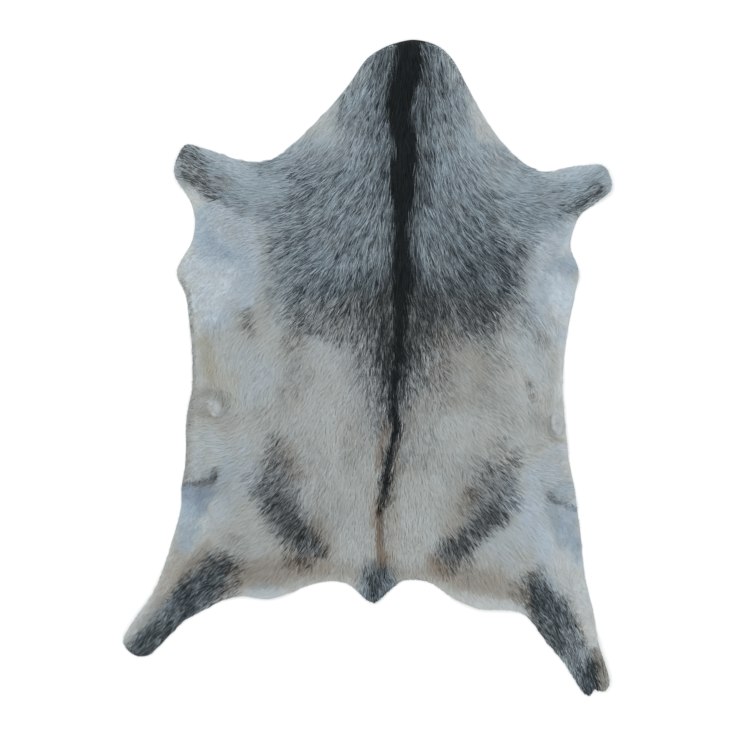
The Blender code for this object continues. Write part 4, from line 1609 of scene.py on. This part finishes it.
def lay_out_map(mesh, middle_x, middle_y):
    """Gives each ribbon a small cell of its own in a map, in rows that run like the hide's, so
    that neighbours in the map are neighbours in the coat."""
    count = len(middle_x)
    wide = int(math.ceil(math.sqrt(count * MAP_SHAPE)))
    tall = int(math.ceil(count / wide))
    by_height = np.argsort(middle_y)
    cell = np.empty(count, int)
    for band in range(tall):
        members = by_height[band * wide : (band + 1) * wide]
        cell[members[np.argsort(middle_x[members])]] = band * wide + np.arange(len(members))
    margin_u, margin_v = 0.5 * wide / MAP_SIDE, 0.5 * tall / MAP_SIDE
    across = margin_u + (1.0 - 2.0 * margin_u) * (ribbon_side + 1.0) / 2.0
    upward = margin_v + (1.0 - 2.0 * margin_v) * ribbon_along
    u = ((cell % wide)[:, None] + across[None, ribbon_corners]) / wide
    v = ((cell // wide)[:, None] + upward[None, ribbon_corners]) / tall
    atlas = mesh.uv_layers.new(name="OFBake")
    atlas.uv.foreach_set("vector", np.stack([u, v], axis=-1).astype(np.float32).ravel())


# %% Growing a layer
def grow_layer(name, locks, per_lock, length_share, depth_share, width, spread, seed):
    """One layer of the coat as an object of joined ribbons."""
    random = np.random.default_rng(seed)
    root_x, root_y = scattered_roots(locks, random)
    lots = random.random(len(root_x))
    length = lock_lengths(root_x, root_y, length_share, lots)
    for _ in range(SHORTENINGS):
        path_x, path_y = lock_path(root_x, root_y, length)
        over = read_map(inward_map, path_x[:, -1], path_y[:, -1]) < -OVERHANG
        length = np.where(over, length * SHORTENED_TO, length)
    path_x, path_y = lock_path(root_x, root_y, length)
    shown_x = MIDDLE_PART * path_x[:, 1] + TIP_PART * path_x[:, 2]
    shown_x = shown_x + random.normal(0.0, RAGGED, len(root_x))
    shown_y = MIDDLE_PART * path_y[:, 1] + TIP_PART * path_y[:, 2]
    shown_y = shown_y + random.normal(0.0, RAGGED, len(root_x))
    marks = dark_marks(shown_x, shown_y)
    tones = light_tones(shown_x, shown_y)
    thin = thinness(root_x, root_y)

    # Each hair follows the path of the lock that owns it.
    owner = np.repeat(np.arange(len(root_x)), per_lock)
    count = len(owner)
    toward_x, toward_y = combed(path_x[:, 1], path_y[:, 1])
    toward_x, toward_y = toward_x[owner], toward_y[owner]
    beside = random.normal(0.0, spread, count)
    ahead = random.uniform(-SLIDE, SLIDE, count) * length[owner]
    stray = random.normal(0.0, STRAY, count)
    drift = beside[:, None] * DRAWN_TOGETHER + (stray * length[owner])[:, None] * RUNS
    hair_x = path_x[owner] - toward_y[:, None] * drift + (toward_x * ahead)[:, None]
    hair_y = path_y[owner] + toward_x[:, None] * drift + (toward_y * ahead)[:, None]

    # Hairs that would root off the hide or hang far over its edge are left out, and some where
    # the coat is thin.
    rooted = read_map(inward_map, hair_x[:, 0], hair_y[:, 0]) > HAIR_INSET
    tips_in = read_map(inward_map, hair_x[:, -1], hair_y[:, -1]) > -2.0 * OVERHANG
    thinned_out = random.random(count) < THINNED_OUT * thin[owner]
    kept = rooted & tips_in & ~thinned_out
    hair_x, hair_y, owner = hair_x[kept], hair_y[kept], owner[kept]
    toward_x, toward_y = toward_x[kept], toward_y[kept]
    count = len(owner)

    # A hair bends up from the skin and lies as deep as the solid's coat.
    ground = read_map(under_map, hair_x, hair_y) + SKIN
    depth = read_map(depth_map, hair_x, hair_y) * depth_share
    lift = LEAST_LIFT + LIFT_VARIETY * lots[owner]
    vigour = random.uniform(*VIGOUR, count)[:, None] * lift[:, None]
    hair_z = ground + depth * RISE * vigour
    hair_z[:, 0] -= ROOT_DEPTH

    # The template ribbon is stretched along each hair, and rolled a little about it.
    roll = random.normal(0.0, ROLL, count)
    fineness = 1.0 - FINER_WHERE_THIN * thin[owner]
    hair_width = width * random.uniform(*WIDTHS, count) * fineness
    half = 0.5 * hair_width[:, None] * TAPER
    row = ribbon_rows
    side = ribbon_side[None, :]
    flat, tilt = np.cos(roll)[:, None], np.sin(roll)[:, None]
    points = np.empty((count, len(row), 3), np.float32)
    points[:, :, 0] = hair_x[:, row] - toward_y[:, None] * half[:, row] * side * flat
    points[:, :, 1] = hair_y[:, row] + toward_x[:, None] * half[:, row] * side * flat
    points[:, :, 2] = hair_z[:, row] + half[:, row] * side * tilt
    mesh = ribbons_mesh(name, points)

    # What the hair material reads: a lot, the place along the hair, and luck of its own.
    tuft = tufted(shown_x, shown_y)
    hair_lots = 0.5 + TUFT_SHARE * (tuft - 0.5)[owner] + LOCK_SHARE * (lots[owner] - 0.5)
    hair_lots = np.clip(hair_lots + HAIR_SHARE * (random.random(count) - 0.5), 0.0, 1.0)
    strand = np.empty((count, len(row), 4))
    strand[:, :, 0] = hair_lots[:, None]
    strand[:, :, 1] = ribbon_along[None, :]
    strand[:, :, 2] = random.random(count)[:, None]
    strand[:, :, 3] = 1.0
    paint_points(mesh, "marks", np.repeat(marks[owner], len(row), axis=0))
    paint_points(mesh, "tones", np.repeat(tones[owner], len(row), axis=0))
    paint_points(mesh, "strand", strand)
    lay_out_map(mesh, hair_x[:, 1], hair_y[:, 1])

    layer = placed(name, mesh)
    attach(layer, "root")
    print(name, count, "hairs,", len(mesh.polygons), "faces")
    return layer


# %% All five layers
FIRST_SEED = 11
layers = [grow_layer(*row, seed=FIRST_SEED + i) for i, row in enumerate(LAYERS)]
hair_count = sum(len(layer.data.vertices) for layer in layers) // len(ribbon_along)
print("the coat has", hair_count, "hairs")

# %% [markdown]
# ## Hair material
# Goat hair is smooth and a little glossy. The colour comes from the group, shaded darker at the
# root, where less light reaches, and each hair differs a little from the next. A hair shader is
# made for curves, and these hairs are ribbons of mesh, so they have the plain Principled one.

# %% Goat hair
goat_hair, tree, shader = new_material("goat_hair", 0.52, 0.14)
strand = attribute(tree, "strand")
strand_parts = tree.nodes.new("ShaderNodeSeparateColor")
tree.links.new(strand["Color"], strand_parts.inputs[0])
lot, along, luck = strand_parts.outputs[0], strand_parts.outputs[1], strand_parts.outputs[2]
root_shade = ramped(tree, along, 0.0, 0.60, 0.80, 1.0)
own_shade = ramped(tree, luck, 0.0, 1.0, 0.94, 1.05)
shade = arithmetic(tree, "MULTIPLY", root_shade, own_shade)
colour = coat_colour_node(tree, lot, shade, object_place(tree))
tree.links.new(colour, shader.inputs["Base Color"])
for layer in layers:
    layer.data.materials.append(goat_hair)
print(goat_hair.name, len(tree.nodes), "nodes")
